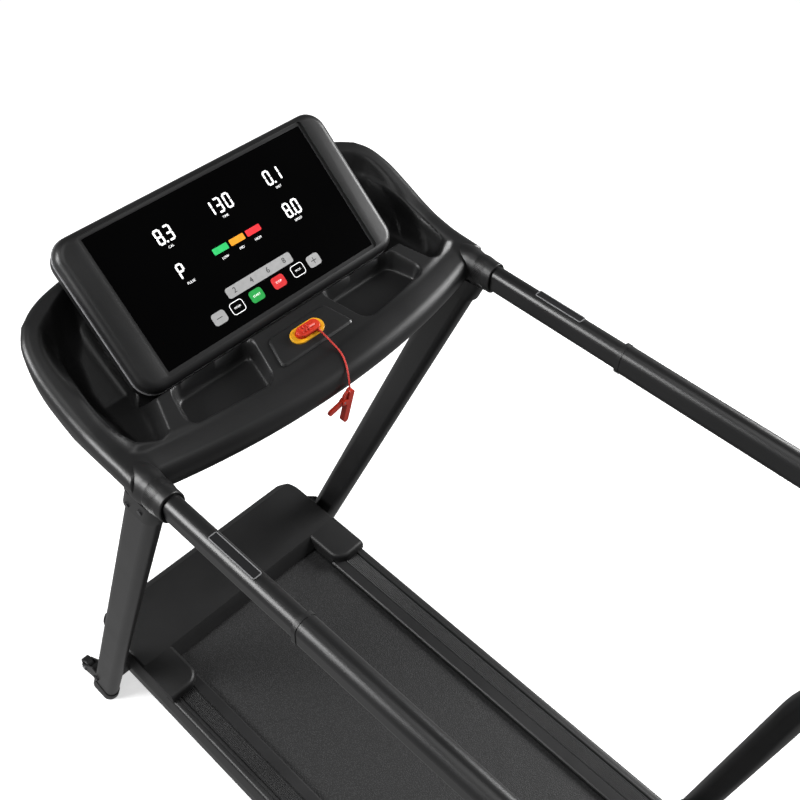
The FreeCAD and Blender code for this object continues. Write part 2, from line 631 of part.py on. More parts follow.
def power_switch():
    """Rocker seen on the nose: two slopes that meet over its pivot."""
    depth = NOSE_Y - 10
    outline = [(depth, 77.5), (NOSE_Y - 2.5, 77.5), (NOSE_Y - 4.0, 87.0), (NOSE_Y - 0.3, 96.5), (depth, 96.5)]
    return prism_x(outline, -98.6, -87.4)


def reset_button():
    cap = rod_y(4.4, -68, NOSE_Y - 14, NOSE_Y - 0.6, 87)
    collar = rod_y(6.0, -68, NOSE_Y - 14, NOSE_Y - 10, 87)
    return fuse([cap, collar])


# ------------------------------------------------------------------ uprights and wheels
def upright_point(s):
    """Point of the upright's centre line at distance s up from the floor."""
    return UPRIGHT_FOOT_Y - s * math.sin(LEAN), s * math.cos(LEAN)


def grip_solid(grow=0.0):
    length = upright_top_front() - (GRIP_JOINT_Y - GRIP_PLUG)
    return oval_bar(TUBE_X, upright_top_front(), HANDRAIL_Z, math.pi / 2, length,
                    GRIP_TALL + 2 * grow, GRIP_THICK + 2 * grow)


def upright_top_front():
    return UPRIGHT_TOP_Y + UPRIGHT_DEPTH / 2 / math.cos(LEAN) + 8


def upright():
    """Oval steel tube, coped at its top to seat under the grip rail."""
    start = 30.0
    top = (HANDRAIL_Z - GRIP_TALL / 2 + 8) / math.cos(LEAN)
    outer = oval_bar(TUBE_X, UPRIGHT_FOOT_Y, 0, LEAN, top - start, UPRIGHT_DEPTH, UPRIGHT_THICK, start)
    inner = oval_bar(TUBE_X, UPRIGHT_FOOT_Y, 0, LEAN, top, UPRIGHT_DEPTH - 2 * TUBE_WALL,
                     UPRIGHT_THICK - 2 * TUBE_WALL, start - 5)
    reach = upright_top_front()
    rail = oval_bar(TUBE_X, reach + 60, HANDRAIL_Z, math.pi / 2, 300, GRIP_TALL, UPRIGHT_THICK + 1)
    above = box(TUBE_X - 40, TUBE_X + 40, reach - 260, reach + 60, HANDRAIL_Z - GRIP_TALL / 2 + 6, HANDRAIL_Z + 60)
    y, z = upright_bolt_place()
    hole = rod_x(BOLT_R, TUBE_X, TUBE_X + UPRIGHT_THICK, y, z)
    return cut(outer, inner, rail, above, hole)


def foot_cap(foot_y, lean, tall, thick):
    """Plastic cap with a flat sole, holding the bottom of a leaning tube."""
    lip = 2.0
    outer = oval_bar(TUBE_X, foot_y, 0, lean, 85, tall + 2 * lip, thick + 2 * lip, -40)
    tube = oval_bar(TUBE_X, foot_y, 0, lean, 60, tall, thick, 30)
    below = box(TUBE_X - 60, TUBE_X + 60, foot_y - 120, foot_y + 120, -100, 0)
    return cut(outer, tube, below)


def foot_caps():
    front = foot_cap(UPRIGHT_FOOT_Y, LEAN, UPRIGHT_DEPTH, UPRIGHT_THICK)
    rear = foot_cap(LEG_FOOT_Y, math.radians(LEG_LEAN), HANDRAIL_TALL, HANDRAIL_THICK)
    return group([front, mirrored(front), rear, mirrored(rear)])


def upright_brackets():
    """Square stubs that join the side beams to the uprights."""
    y, z = upright_point(76.0)
    wall = 4.0
    y0, y1, z0, z1 = y - 6, y + 30, 56, 96
    stub = box(BEAM_OUT_X, TUBE_X - UPRIGHT_THICK / 2, y0, y1, z0, z1)
    hole = box(BEAM_OUT_X, TUBE_X - UPRIGHT_THICK / 2 - wall, y0 + wall, y1 - wall, z0 + wall, z1 - wall)
    return both(stub.cut(hole))


def wheel_brackets():
    """Forks on the front edges of the uprights, round the transport wheels."""
    cheek = 3.0
    gap = WHEEL_WIDTH / 2 + 1.0
    plates = []
    for x0 in (TUBE_X - gap - cheek, TUBE_X + gap):
        eye = rod_x(11.0, x0, x0 + cheek, WHEEL_Y, WHEEL_Z)
        web = prism_x([(WHEEL_Y - 2, WHEEL_Z - 11), (WHEEL_Y + 4, WHEEL_Z + 10), (WHEEL_Y - 42, WHEEL_Z + 52),
                       (WHEEL_Y - 62, WHEEL_Z + 46), (WHEEL_Y - 44, WHEEL_Z + 4)], x0, x0 + cheek)
        plates.append(fuse([eye, web]))
    bridge = box(TUBE_X - gap, TUBE_X + gap, WHEEL_Y - 62, WHEEL_Y - 34, WHEEL_Z + 36, WHEEL_Z + 46)
    fork = fuse(plates + [bridge])
    tube = oval_bar(TUBE_X, UPRIGHT_FOOT_Y, 0, LEAN, 200, UPRIGHT_DEPTH, UPRIGHT_THICK, 0)
    cap = oval_bar(TUBE_X, UPRIGHT_FOOT_Y, 0, LEAN, 65, UPRIGHT_DEPTH + 4 + SLIP, UPRIGHT_THICK + 4 + SLIP, -20)
    hole = rod_x(WHEEL_AXLE_R, TUBE_X - 20, TUBE_X + 20, WHEEL_Y, WHEEL_Z)
    fork = cut(fork, tube, cap, hole)
    largest = max(fork.Solids, key=lambda solid: solid.Volume)
    return both(largest)


def wheel_axles():
    half = WHEEL_WIDTH / 2 + 4.0
    pin = rod_x(WHEEL_AXLE_R, TUBE_X - half, TUBE_X + half, WHEEL_Y, WHEEL_Z)
    head = rod_x(WHEEL_AXLE_R + 3, TUBE_X + half, TUBE_X + half + 2, WHEEL_Y, WHEEL_Z)
    nut = rod_x(WHEEL_AXLE_R + 3, TUBE_X - half - 2, TUBE_X - half, WHEEL_Y, WHEEL_Z)
    return both(fuse([pin, head, nut]))


def transport_wheel():
    half = WHEEL_WIDTH / 2
    wheel = rod_x(WHEEL_R, TUBE_X - half, TUBE_X + half, WHEEL_Y, WHEEL_Z)
    rims = [e for e in wheel.Edges if e.Length > 2 * WHEEL_R * 3 and e.BoundBox.XLength < 0.01]
    wheel = wheel.makeFillet(3.0, rims)
    for side in (-1, 1):
        x0 = TUBE_X + side * half
        dish = rod_x(13.0, min(x0, x0 - side * 3), max(x0, x0 - side * 3), WHEEL_Y, WHEEL_Z)
        hub = rod_x(7.5, min(x0, x0 - side * 3), max(x0, x0 - side * 3), WHEEL_Y, WHEEL_Z)
        wheel = wheel.cut(dish.cut(hub))
    return wheel.cut(rod_x(WHEEL_AXLE_R + RUN_FIT, TUBE_X - half, TUBE_X + half, WHEEL_Y, WHEEL_Z))


# ------------------------------------------------------------------ handrails
def grip_rail():
    length = upright_top_front() - (GRIP_JOINT_Y - GRIP_PLUG)
    inner = oval_bar(TUBE_X, upright_top_front() + 1, HANDRAIL_Z, math.pi / 2, length + 2,
                     GRIP_TALL - 2 * TUBE_WALL, GRIP_THICK - 2 * TUBE_WALL)
    seat = box(*pulse_plate_box(0.0))
    return cut(grip_solid(), inner, seat)


def pulse_plate_box(lift):
    half = 6.0
    top = HANDRAIL_Z + GRIP_TALL / 2
    return (TUBE_X - half, TUBE_X + half, LIP_Y - 175, LIP_Y - 89, top - 2.2, top + lift)


def pulse_plates():
    """Long sensor plates let into the tops of the grips."""
    return both(box(*pulse_plate_box(1.0)))


def leg_route():
    lean = math.radians(LEG_LEAN)
    upper = math.radians(UPPER_LEG_LEAN)
    knee_y = LEG_FOOT_Y - KNEE_Z * math.tan(lean)
    corner_y = knee_y - (HANDRAIL_Z - KNEE_Z) * math.tan(upper)
    foot = 30.0
    return [(GRIP_JOINT_Y, HANDRAIL_Z), (corner_y, HANDRAIL_Z), (knee_y, KNEE_Z),
            (LEG_FOOT_Y - foot * math.sin(lean), foot * math.cos(lean))]


def handrail():
    """One bent tube: handrail, rear bend and rear leg."""
    route = leg_route()
    radii = (RAIL_BEND_R, KNEE_R)
    outer = oval_sweep(route, radii, TUBE_X, HANDRAIL_TALL, HANDRAIL_THICK)
    inner = oval_sweep(route, radii, TUBE_X, HANDRAIL_TALL - 2 * TUBE_WALL, HANDRAIL_THICK - 2 * TUBE_WALL)
    holes = [rod_x(BOLT_R, TUBE_X, TUBE_X + HANDRAIL_THICK, y, z) for y, z in leg_bolt_places()]
    return cut(outer, inner, *holes)


def joint_rings():
    ring = oval_bar(TUBE_X, GRIP_JOINT_Y + JOINT_RING, HANDRAIL_Z, math.pi / 2, JOINT_RING,
                    HANDRAIL_TALL + 2, HANDRAIL_THICK + 2)
    return both(ring.cut(grip_solid(SLIP)))


def leg_brackets():
    """Plates beside the rear legs, welded to stubs on the side beams."""
    lean = math.radians(LEG_LEAN)
    thick = 8.0
    width = 60.0
    leg_in = TUBE_X - HANDRAIL_THICK / 2
    plate = obround_face(120.0, width)
    plate = plate.extrude(V(0, 0, thick))
    plate.Placement = FreeCAD.Placement(V(0, 0, 0), FreeCAD.Rotation(V(0, 0, 1), 90)).multiply(
        FreeCAD.Placement(V(0, 0, 0), FreeCAD.Rotation(ALONG_X, 90)))
    plate = Part.makeCompound([plate])
    middle = 112.0
    plate = leaned(plate, leg_in - thick, LEG_FOOT_Y - middle * math.sin(lean), middle * math.cos(lean), lean)
    plate = plate.Solids[0]
    y = LEG_FOOT_Y - 10
    stub = box(BEAM_OUT_X, leg_in - thick, y - 24, y + 24, 56, FOOT_RAIL_SKIRT_Z - 2)
    return both(fuse([plate, stub]))


# ------------------------------------------------------------------ console
def tub_outline(inset, z):
    """Plan outline of the console: bowed lip, collars round the rails, rounded front corners."""
    half = TUB_HALF - inset
    collar_in = TUBE_X - TUB_OVER_TUBE + inset
    lip = LIP_Y + inset
    collar_end = LIP_Y - 4 + inset
    points = [V(-collar_in, lip + 36, z), V(0, lip - 2, z), V(collar_in, lip + 36, z)]
    front_y = LIP_Y + 372 - inset
    edges = [
        Part.Arc(points[0], points[1], points[2]).toShape(),
        Part.LineSegment(V(collar_in, lip + 36, z), V(collar_in, collar_end, z)).toShape(),
        Part.LineSegment(V(collar_in, collar_end, z), V(half, collar_end, z)).toShape(),
        Part.LineSegment(V(half, collar_end, z), V(half, LIP_Y + 225, z)).toShape(),
        Part.Arc(V(half, LIP_Y + 225, z), V(half - 32, LIP_Y + 305, z), V(half - 100, front_y - 28, z)).toShape(),
        Part.Arc(V(half - 100, front_y - 28, z), V(0, front_y, z), V(-half + 100, front_y - 28, z)).toShape(),
        Part.Arc(V(-half + 100, front_y - 28, z), V(-half + 32, LIP_Y + 305, z), V(-half, LIP_Y + 225, z)).toShape(),
        Part.LineSegment(V(-half, LIP_Y + 225, z), V(-half, collar_end, z)).toShape(),
        Part.LineSegment(V(-half, collar_end, z), V(-collar_in, collar_end, z)).toShape(),
        Part.LineSegment(V(-collar_in, collar_end, z), points[0]).toShape(),
    ]
    return Part.Face(Part.Wire(edges))


def tub_column(inset, z0, z1):
    return tub_outline(inset, z0).extrude(V(0, 0, z1 - z0))


def tub_profile(drop):
    """Side outline of the console's top: apron, rim, and the climb to the front."""
    low = HANDRAIL_Z + TUB_FLOOR
    top = HANDRAIL_Z - drop
    return [(LIP_Y - 20, low), (LIP_Y - 20, top + 9), (LIP_Y + 3, top + 9), (LIP_Y + 9, top + 17),
            (LIP_Y + 50, top + 28), (LIP_Y + 80, top + 26), (LIP_Y + 110, top + 28), (LIP_Y + 184, top + 46),
            (LIP_Y + 267, top + 83), (LIP_Y + 340, top + 114), (LIP_Y + 400, top + 120),
            (LIP_Y + 400, low + TUB_REAR_RISE), (LIP_Y + TUB_FLAT, low)]


def tray_z(y):
    return HANDRAIL_Z + TRAY_HEIGHT - 9 + (y - LIP_Y - 5) * TRAY_RISE


def pocket(grow, floor):
    """One tray well: straight sides that lean with the centre panel, down to a flat floor."""
    x_in0 = 92.0 - grow
    x_in1 = 68.0 - grow
    x_out0 = 236.0 + grow
    x_out1 = 216.0 + grow
    rear = LIP_Y + 50 - grow
    front = LIP_Y + 126 + grow
    outline = [(x_in0, rear), (x_out0, rear + 20), (x_out1, front), (x_in1, front)]
    return prism_z(outline, floor, HANDRAIL_Z + 90)


def wing(grow, floor):
    """Scoop between the display and the rim."""
    x0 = BEZEL_HALF + 6 - grow
    x1 = TUB_HALF - 36 + grow
    y0 = LIP_Y + 90 - grow
    slope = TUB_REAR_RISE / (400 - TUB_FLAT)
    end = LIP_Y + 400
    knee = LIP_Y + TUB_FLAT + 15
    outline = [(y0, floor), (knee, floor), (end, floor + slope * (end - knee)), (end, HANDRAIL_Z + 300),
               (y0, HANDRAIL_Z + 300)]
    return prism_x(outline, x0, x1)


def pod_envelope(grow):
    """Outside of the whole display pod, grown all round."""
    plate = rounded_plate(BEZEL_HALF + grow, -BEZEL_BOTTOM - grow, GLASS_HEIGHT + BEZEL_TOP + grow,
                          POD_DEPTH + 2 * grow + 1, POD_CORNER_R, -grow - 1)
    return on_pod(plate)


def console_tub():
    """Moulded tub: thin walls, wells for the trays, collars for the rails, and a bay for the display."""
    low = HANDRAIL_Z + TUB_FLOOR
    body = tub_column(0, low, low + 200).common(prism_x(tub_profile(0), -TUB_HALF - 5, TUB_HALF + 5))
    collar = oval_bar(TUBE_X, LIP_Y - 4 + COLLAR_LENGTH, HANDRAIL_Z, math.pi / 2, COLLAR_LENGTH,
                      GRIP_TALL + 2 * COLLAR_WALL, GRIP_THICK + 2 * COLLAR_WALL)
    body = fuse([body, collar, mirrored(collar)])
    body = body.cut(box(-TUB_HALF, TUB_HALF, LIP_Y - 60, LIP_Y + 200, low - 40, low))
    basin = tub_column(32, low + 1, low + 260).common(
        box(-TUB_HALF, TUB_HALF, LIP_Y + 52, LIP_Y + 400, low, low + 260))
    tray = [(LIP_Y + 40, low - 5), (LIP_Y + 40, tray_z(LIP_Y + 40)), (LIP_Y + 400, tray_z(LIP_Y + 400)),
            (LIP_Y + 400, low - 5)]
    floor = prism_x(tray, -TUB_HALF, TUB_HALF)
    body = body.cut(basin.cut(floor))
    scoop = wing(0.0, HANDRAIL_Z - 2).common(tub_column(32, low, low + 260))
    body = cut(body, scoop, mirrored(scoop), pocket(0.0, HANDRAIL_Z + 2), mirrored(pocket(0.0, HANDRAIL_Z + 2)))
    panel = prism_z([(-68, LIP_Y + 69), (68, LIP_Y + 69), (51, LIP_Y + 114), (-51, LIP_Y + 114)], low, low + 100)
    panel = panel.common(prism_x([(y, z + 3) for y, z in tray], -TUB_HALF, TUB_HALF))
    body = body.fuse(panel)
    # hollow underside
    hollow = tub_column(TUB_WALL, low - 1, low + 200).common(prism_x(tub_profile(TUB_WALL), -TUB_HALF, TUB_HALF))
    under_tray = prism_x([(y, z - TUB_WALL) for y, z in tray], -TUB_HALF, TUB_HALF)
    keep = basin_skin(low).cut(under_tray)
    keep = keep.fuse(pocket(TUB_WALL, HANDRAIL_Z + 2 - TUB_WALL))
    keep = keep.fuse(mirrored(pocket(TUB_WALL, HANDRAIL_Z + 2 - TUB_WALL)))
    skin = wing(TUB_WALL, HANDRAIL_Z - 2 - TUB_WALL).common(tub_column(32 - TUB_WALL, low, low + 260))
    keep = keep.fuse(skin).fuse(mirrored(skin))
    boss = box(TUBE_X - TUB_OVER_TUBE, TUB_HALF, LIP_Y - 10, LIP_Y + 24, low - 5, low + 100)
    hollow = cut(hollow, keep, collar, mirrored(collar), boss, mirrored(boss))
    body = body.cut(hollow)
    rail = grip_solid(SLIP)
    pillar = oval_bar(TUBE_X, UPRIGHT_FOOT_Y, 0, LEAN, 1400, UPRIGHT_DEPTH + 2 * SLIP, UPRIGHT_THICK + 2 * SLIP)
    pillar = pillar.common(box(0, 400, LIP_Y - 60, LIP_Y + 200, low - 50, HANDRAIL_Z))
    bay = pod_envelope(LOOSE)
    bar = crossbar_box(SLIP)
    body = cut(body, rail, mirrored(rail), pillar, mirrored(pillar), bay, bar)
    seat = key_plane(obround_plate(SOCKET_LENGTH, SOCKET_WIDTH, -6, 10))
    body = body.cut(seat)
    return max(body.Solids, key=lambda solid: solid.Volume)


def basin_skin(low):
    """Space of the basin grown by the wall, which the hollow underside leaves alone."""
    return tub_column(32 - TUB_WALL, low - 20, low + 260).common(
        box(-TUB_HALF, TUB_HALF, LIP_Y + 52 - TUB_WALL, LIP_Y + 400, low - 20, low + 260))


def console_cover():
    """Lower cover with sleeves that run down round the uprights."""
    low = HANDRAIL_Z + TUB_FLOOR
    thick = 3.0
    sleeve_drop = 46.0
    sheet = [(LIP_Y - 20, low), (LIP_Y + TUB_FLAT, low), (LIP_Y + 400, low + TUB_REAR_RISE)]
    sheet += [(y, z - thick) for y, z in reversed(sheet)]
    plate = tub_column(0, low - thick, low + 200).common(prism_x(sheet, -TUB_HALF - 5, TUB_HALF + 5))
    s = low / math.cos(LEAN)
    outer = oval_bar(TUBE_X, UPRIGHT_FOOT_Y, 0, LEAN, 200, UPRIGHT_DEPTH + 9, UPRIGHT_THICK + 9, s - 100)
    outer = outer.common(box(TUBE_X - 30, TUBE_X + 30, LIP_Y - 60, LIP_Y + 200, low - sleeve_drop, low))
    pillar = oval_bar(TUBE_X, UPRIGHT_FOOT_Y, 0, LEAN, 300, UPRIGHT_DEPTH + 2 * SLIP, UPRIGHT_THICK + 2 * SLIP,
                      s - 150)
    cover = fuse([plate, outer, mirrored(outer)])
    rail = grip_solid(SLIP)
    pod = pod_envelope(LOOSE)
    return cut(cover, pillar, mirrored(pillar), rail, mirrored(rail), pod)


def crossbar_box(grow):
    half = TUBE_X - UPRIGHT_THICK / 2
    y = UPRIGHT_TOP_Y + 8
    z = HANDRAIL_Z + TUB_FLOOR + 1
    return box(-half, half, y - 9 - grow, y + 9 + grow, z - grow, z + 14 + grow)


def console_crossbar():
    """Steel bar inside the console that ties the two uprights together."""
    return crossbar_box(0.0).cut(crossbar_box(-2.0))


def display_bezel():
    """Front frame of the display, thick at its sides."""
    plate = rounded_plate(BEZEL_HALF, -BEZEL_BOTTOM, GLASS_HEIGHT + BEZEL_TOP, BEZEL_DEPTH, POD_CORNER_R)
    front = [e for e in plate.Edges if e.BoundBox.ZMin > -0.01]
    plate = plate.makeFillet(9.0, front)
    glass = box(-GLASS_WIDTH / 2, GLASS_WIDTH / 2, 0, GLASS_HEIGHT, -GLASS_THICK, 1)
    window = box(-GLASS_WIDTH / 2 + 4, GLASS_WIDTH / 2 - 4, 4, GLASS_HEIGHT - 4, -BEZEL_DEPTH - 1, 1)
    behind = rounded_plate(BEZEL_HALF - POD_WALL, -BEZEL_BOTTOM + POD_WALL, GLASS_HEIGHT + BEZEL_TOP - POD_WALL,
                           BEZEL_DEPTH - 9, POD_CORNER_R - POD_WALL, 9.0)
    return on_pod(cut(plate, glass, window, behind))


def display_glass():
    return on_pod(box(-GLASS_WIDTH / 2, GLASS_WIDTH / 2, 0, GLASS_HEIGHT, -GLASS_THICK, 0))


def display_back_shell():
    y0 = -BEZEL_BOTTOM + POD_INSET
    y1 = GLASS_HEIGHT + BEZEL_TOP - POD_INSET
    half = BEZEL_HALF - POD_INSET
    depth = POD_DEPTH - BEZEL_DEPTH
    shell = rounded_plate(half, y0, y1, depth, POD_CORNER_R - POD_INSET, BEZEL_DEPTH)
    back = [e for e in shell.Edges if e.BoundBox.ZMax < -POD_DEPTH + 0.01]
    shell = shell.makeFillet(8.0, back)
    hollow = rounded_plate(half - 8, y0 + 8, y1 - 8, depth - POD_WALL, POD_CORNER_R - POD_INSET - 8, BEZEL_DEPTH)
    return on_pod(shell.cut(hollow))


def display_board():
    """Circuit board behind the glass, with its digit modules."""
    board = box(-185, 185, 15, 200, -12.6, -11)
    digits = [box(x - 30, x + 30, y - 14, y + 14, -11, -6) for x, y in
              ((-95, 165), (10, 165), (113, 165), (110, 112), (-100, 112))]
    return on_pod(fuse([board] + digits))


def console_screws():
    """Round-headed screws on the outer faces of the two sleeves."""
    x = TUBE_X + UPRIGHT_THICK / 2 + 4.5
    z = HANDRAIL_Z - 56
    y = UPRIGHT_FOOT_Y - z * math.tan(LEAN)
    screws = []
    for along in (-16.0, 16.0):
        head = rod_x(4.5, x, x + 2.0, y + along, z - along * math.tan(LEAN) + 8)
        screws.append(head)
        screws.append(mirrored(head))
    return group(screws)


# ------------------------------------------------------------------ safety key
def key_plane(shape):
    """Carry a shape from the centre panel's own plane to its place under the display."""
    y = LIP_Y + SOCKET_AHEAD
    tilt = math.degrees(math.atan(TRAY_RISE))
    shape.Placement = FreeCAD.Placement(V(0, y, tray_z(y) + 3), FreeCAD.Rotation(ALONG_X, tilt))
    return shape


def obround_plate(length, width, z0, z1):
    """Plate with round ends, long way along X, in the panel's own plane."""
    plate = obround_face(length, width)
    plate.rotate(V(0, 0, 0), V(0, 0, 1), 90)
    plate = plate.extrude(V(0, 0, z1 - z0))
    plate.translate(V(0, 0, z0))
    return Part.makeCompound([plate])


def key_socket():
    socket = obround_plate(SOCKET_LENGTH, SOCKET_WIDTH, -6, SOCKET_RIM).Solids[0]
    seat = obround_plate(KEY_LENGTH + 2 * LOOSE, KEY_WIDTH + 2 * LOOSE, SOCKET_RIM - KEY_SEAT, 20).Solids[0]
    return key_plane(socket.cut(seat))


def safety_key():
    """Key with a raised bar across it to pull on, and a lug for the cord."""
    base_z = SOCKET_RIM - KEY_SEAT + LOOSE
    base = obround_plate(KEY_LENGTH, KEY_WIDTH, base_z, SOCKET_RIM + 2).Solids[0]
    grip = obround_plate(26.0, 8.0, SOCKET_RIM + 1, SOCKET_RIM + KEY_HEIGHT).Solids[0]
    lug = Part.makeCylinder(2.4, 7.0, V(12, -KEY_WIDTH / 2 + 1, SOCKET_RIM + 3.0), V(0, -1, 0))
    return key_plane(fuse([base, grip, lug]))


def cord_route():
    """Points of the safety cord, from the key's lug over the lip to the clip."""
    y0 = LIP_Y + SOCKET_AHEAD - KEY_WIDTH / 2 - 6.0
    z0 = tray_z(LIP_Y + SOCKET_AHEAD) + SOCKET_RIM + 4.5
    return [
        V(12.0, y0, z0),
        V(12.5, y0 - 11.5, z0 - 3.5),
        V(14.0, y0 - 26.5, z0 - 11.0),
        V(14.0, y0 - 42.5, z0 - 16.0),
        V(8.5, y0 - 57.5, z0 - 20.0),
        V(0.0, y0 - 71.5, z0 - 25.0),
        V(-7.0, y0 - 81.5, z0 - 32.0),
        V(-9.5, y0 - 85.0, z0 - 40.5),
        V(-8.5, y0 - 85.5, z0 - 49.0),
    ]


def cord_tube(route, diameter):
    """Round cord along straight runs joined by the largest tangent arcs that they allow."""
    edges = []
    radii = []
    length = 0.0
    start = route[0]
    for index in range(1, len(route) - 1):
        here = route[index]
        step_in = here - route[index - 1]
        step_out = route[index + 1] - here
        turn = step_in.getAngle(step_out)
        setback = 0.45 * min(step_in.Length, step_out.Length)
        radii.append(setback / math.tan(turn / 2))
        near = here - V(step_in).normalize() * setback
        far = here + V(step_out).normalize() * setback
        towards = (V(step_out).normalize() - V(step_in).normalize()).normalize()
        middle = here + towards * (radii[-1] / math.cos(turn / 2) - radii[-1])
        edges.append(Part.LineSegment(start, near).toShape())
        edges.append(Part.Arc(near, middle, far).toShape())
        length += edges[-2].Length + edges[-1].Length
        start = far
    edges.append(Part.LineSegment(start, route[-1]).toShape())
    length += edges[-1].Length
    section = Part.Wire(Part.makeCircle(diameter / 2, route[0], route[1] - route[0]))
    tube = Part.Wire(edges).makePipeShell([section], True, False)
    area = math.pi * diameter ** 2 / 4
    print("cord: length %.1f, volume over section times length %.4f, radii %s"
          % (length, tube.Volume / (area * length), ["%.0f" % r for r in radii]))
    return tube


def clip_frame(shape):
    """Carry a clip piece from its own frame, where the body hangs along -Z, to the end of the cord."""
    end = cord_route()[-1]
    tilt = FreeCAD.Rotation(V(0, 1, 0), CLIP_TILT)
    top = tilt.multVec(V(0, 0, CLIP_ABOVE_PIN - CORD_SEAT))
    shape.Placement = FreeCAD.Placement(V(end.x, end.y, end.z) - top, tilt)
    return shape


def clip_lobe(length, width, thick):
    """Flat lobe with round ends, hanging down from the origin."""
    lobe = obround_face(length, width)
    lobe.rotate(V(0, 0, 0), ALONG_X, 90)
    lobe = lobe.extrude(V(0, -thick, 0))
    lobe.translate(V(0, thick / 2, -length / 2 + width / 2))
    return Part.makeCompound([lobe])


def clip_body():
    """Long half of the clip: its lever, its jaw, and two cheeks that hold the pin."""
    lever = clip_lobe(CLIP_LENGTH, CLIP_WIDTH, CLIP_THICK)
    lever.translate(V(0, 0, CLIP_ABOVE_PIN - CLIP_WIDTH / 2))
    cheeks = []
    for y0 in (-CLIP_THICK / 2, CLIP_THICK / 2 - CLIP_CHEEK):
        ear = rod_y(CLIP_EYE_R, -CLIP_PIN_OUT, y0, y0 + CLIP_CHEEK, 0)
        plate = box(-CLIP_PIN_OUT, 0, y0, y0 + CLIP_CHEEK, -CLIP_EYE_R, CLIP_EYE_R)
        cheeks += [ear, plate]
    whole = fuse([lever.Solids[0]] + cheeks)
    return clip_frame(whole.cut(rod_y(CLIP_PIN_R, -CLIP_PIN_OUT, -10, 10, 0)))


def clip_jaw():
    """Short half of the clip, on the pin between the cheeks, with its lever standing out."""
    tongue = CLIP_THICK / 2 - CLIP_CHEEK - LOOSE
    eye = rod_y(CLIP_EYE_R - LOOSE, -CLIP_PIN_OUT, -tongue, tongue, 0)
    face = CLIP_WIDTH / 2 + LOOSE
    jaw = prism_y([(-CLIP_PIN_OUT - 3.5, 0), (-CLIP_PIN_OUT - 2, 12), (-face - 3, 17), (-face, 17), (-face, 13),
                   (-CLIP_PIN_OUT + 3, 5), (-CLIP_PIN_OUT + 3, 0)], -tongue, tongue)
    lever = clip_lobe(CLIP_LEVER, CLIP_WIDTH - 1, 2 * tongue)
    lever.rotate(V(0, 0, 0), V(0, 1, 0), CLIP_LEVER_ANGLE)
    lever.translate(V(-CLIP_PIN_OUT - 3, 0, -1))
    body_room = box(-face, 20, -10, 10, -60, 40)
    whole = fuse([eye, jaw, lever.Solids[0]])
    return clip_frame(cut(whole, rod_y(CLIP_PIN_R + RUN_FIT, -CLIP_PIN_OUT, -10, 10, 0), body_room))


def clip_pin():
    return clip_frame(rod_y(CLIP_PIN_R, -CLIP_PIN_OUT, -CLIP_THICK / 2, CLIP_THICK / 2, 0))


# ------------------------------------------------------------------ fasteners
def frame_bolts():
    """Hexagon bolts: upright feet, rear legs."""
    y, z = upright_bolt_place()
    bolts = [bolt_x(TUBE_X + UPRIGHT_THICK / 2, y, z, BOLT_REACH, -1)]
    leg_face = TUBE_X + HANDRAIL_THICK / 2
    bolts += [bolt_x(leg_face, y, z, BOLT_REACH, -1) for y, z in leg_bolt_places()]
    return group(bolts + [mirrored(bolt) for bolt in bolts])


def upright_bolt_place():
    y, z = upright_point(80.0)
    return y + 18, z + 6


def leg_bolt_places():
    lean = math.radians(LEG_LEAN)
    return [(LEG_FOOT_Y - s * math.sin(lean), s * math.cos(lean)) for s in (78.0, 130.0)]


# ------------------------------------------------------------------ write every piece
def save(name, shape):
    if not shape.isValid():
        print("NOT VALID:", name)
    solids = len(shape.Solids)
    print("%-24s solids %2d  volume %9.1f cm3" % (name, solids, shape.Volume / 1000))
    shape.exportStep(os.path.join("parts", name + ".step"))


def main():
    os.makedirs("parts", exist_ok=True)
    paired = {
        "side_beam": side_beam, "foot_rail": foot_rail, "rear_end_cap": rear_end_cap, "upright": upright,
        "transport_wheel": transport_wheel, "grip_rail": grip_rail, "handrail": handrail,
    }
    for name, make in paired.items():
        right = make()
        save(name + "_right", right)
        save(name + "_left", mirrored(right))
    single = [
        cross_tubes, deck_cushions, running_board, running_belt, front_roller, roller_axles, tension_bolts,
        rear_foot_pads, motor_housing, motor_armature, motor_pulley, motor_flywheel, drive_belt, motor_mount,
        motor_controller, motor_hood, belly_pan, power_inlet, power_switch, reset_button, foot_caps,
        upright_brackets, wheel_brackets, wheel_axles, pulse_plates, joint_rings, leg_brackets, console_tub,
        console_cover, console_crossbar, display_bezel, display_glass, display_back_shell, display_board,
        console_screws, key_socket, safety_key, clip_body, clip_jaw, clip_pin, frame_bolts,
    ]
    for make in single:
        save(make.__name__, make())
    save("rear_roller", roller_tube(REAR_ROLLER_Y))
    save("front_roller_bearings", roller_bearings(FRONT_ROLLER_Y))
    save("rear_roller_bearings", roller_bearings(REAR_ROLLER_Y))
    save("safety_cord", cord_tube(cord_route(), CORD_DIAMETER))


main()
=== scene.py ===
# %% [markdown]
# # A treadmill with long handrails
# This notebook dresses a finished CAD model of a walking treadmill. The CAD parts give every size
# and every moving body. Here we add what a CAD model leaves plain: moulded shells with soft
# highlights, a lit display, ribbed foot rails, a cord that hangs, and a finish for each surface.
#
# The first step loads the CAD parts. Each one arrives with its place already in its mesh, so a new
# piece only needs the same coordinates. The box of the whole model is kept, because the dressed
# model may not outgrow it.

# %% Load the CAD frame
import math

import bpy
import numpy as np
from mathutils import Matrix, Vector


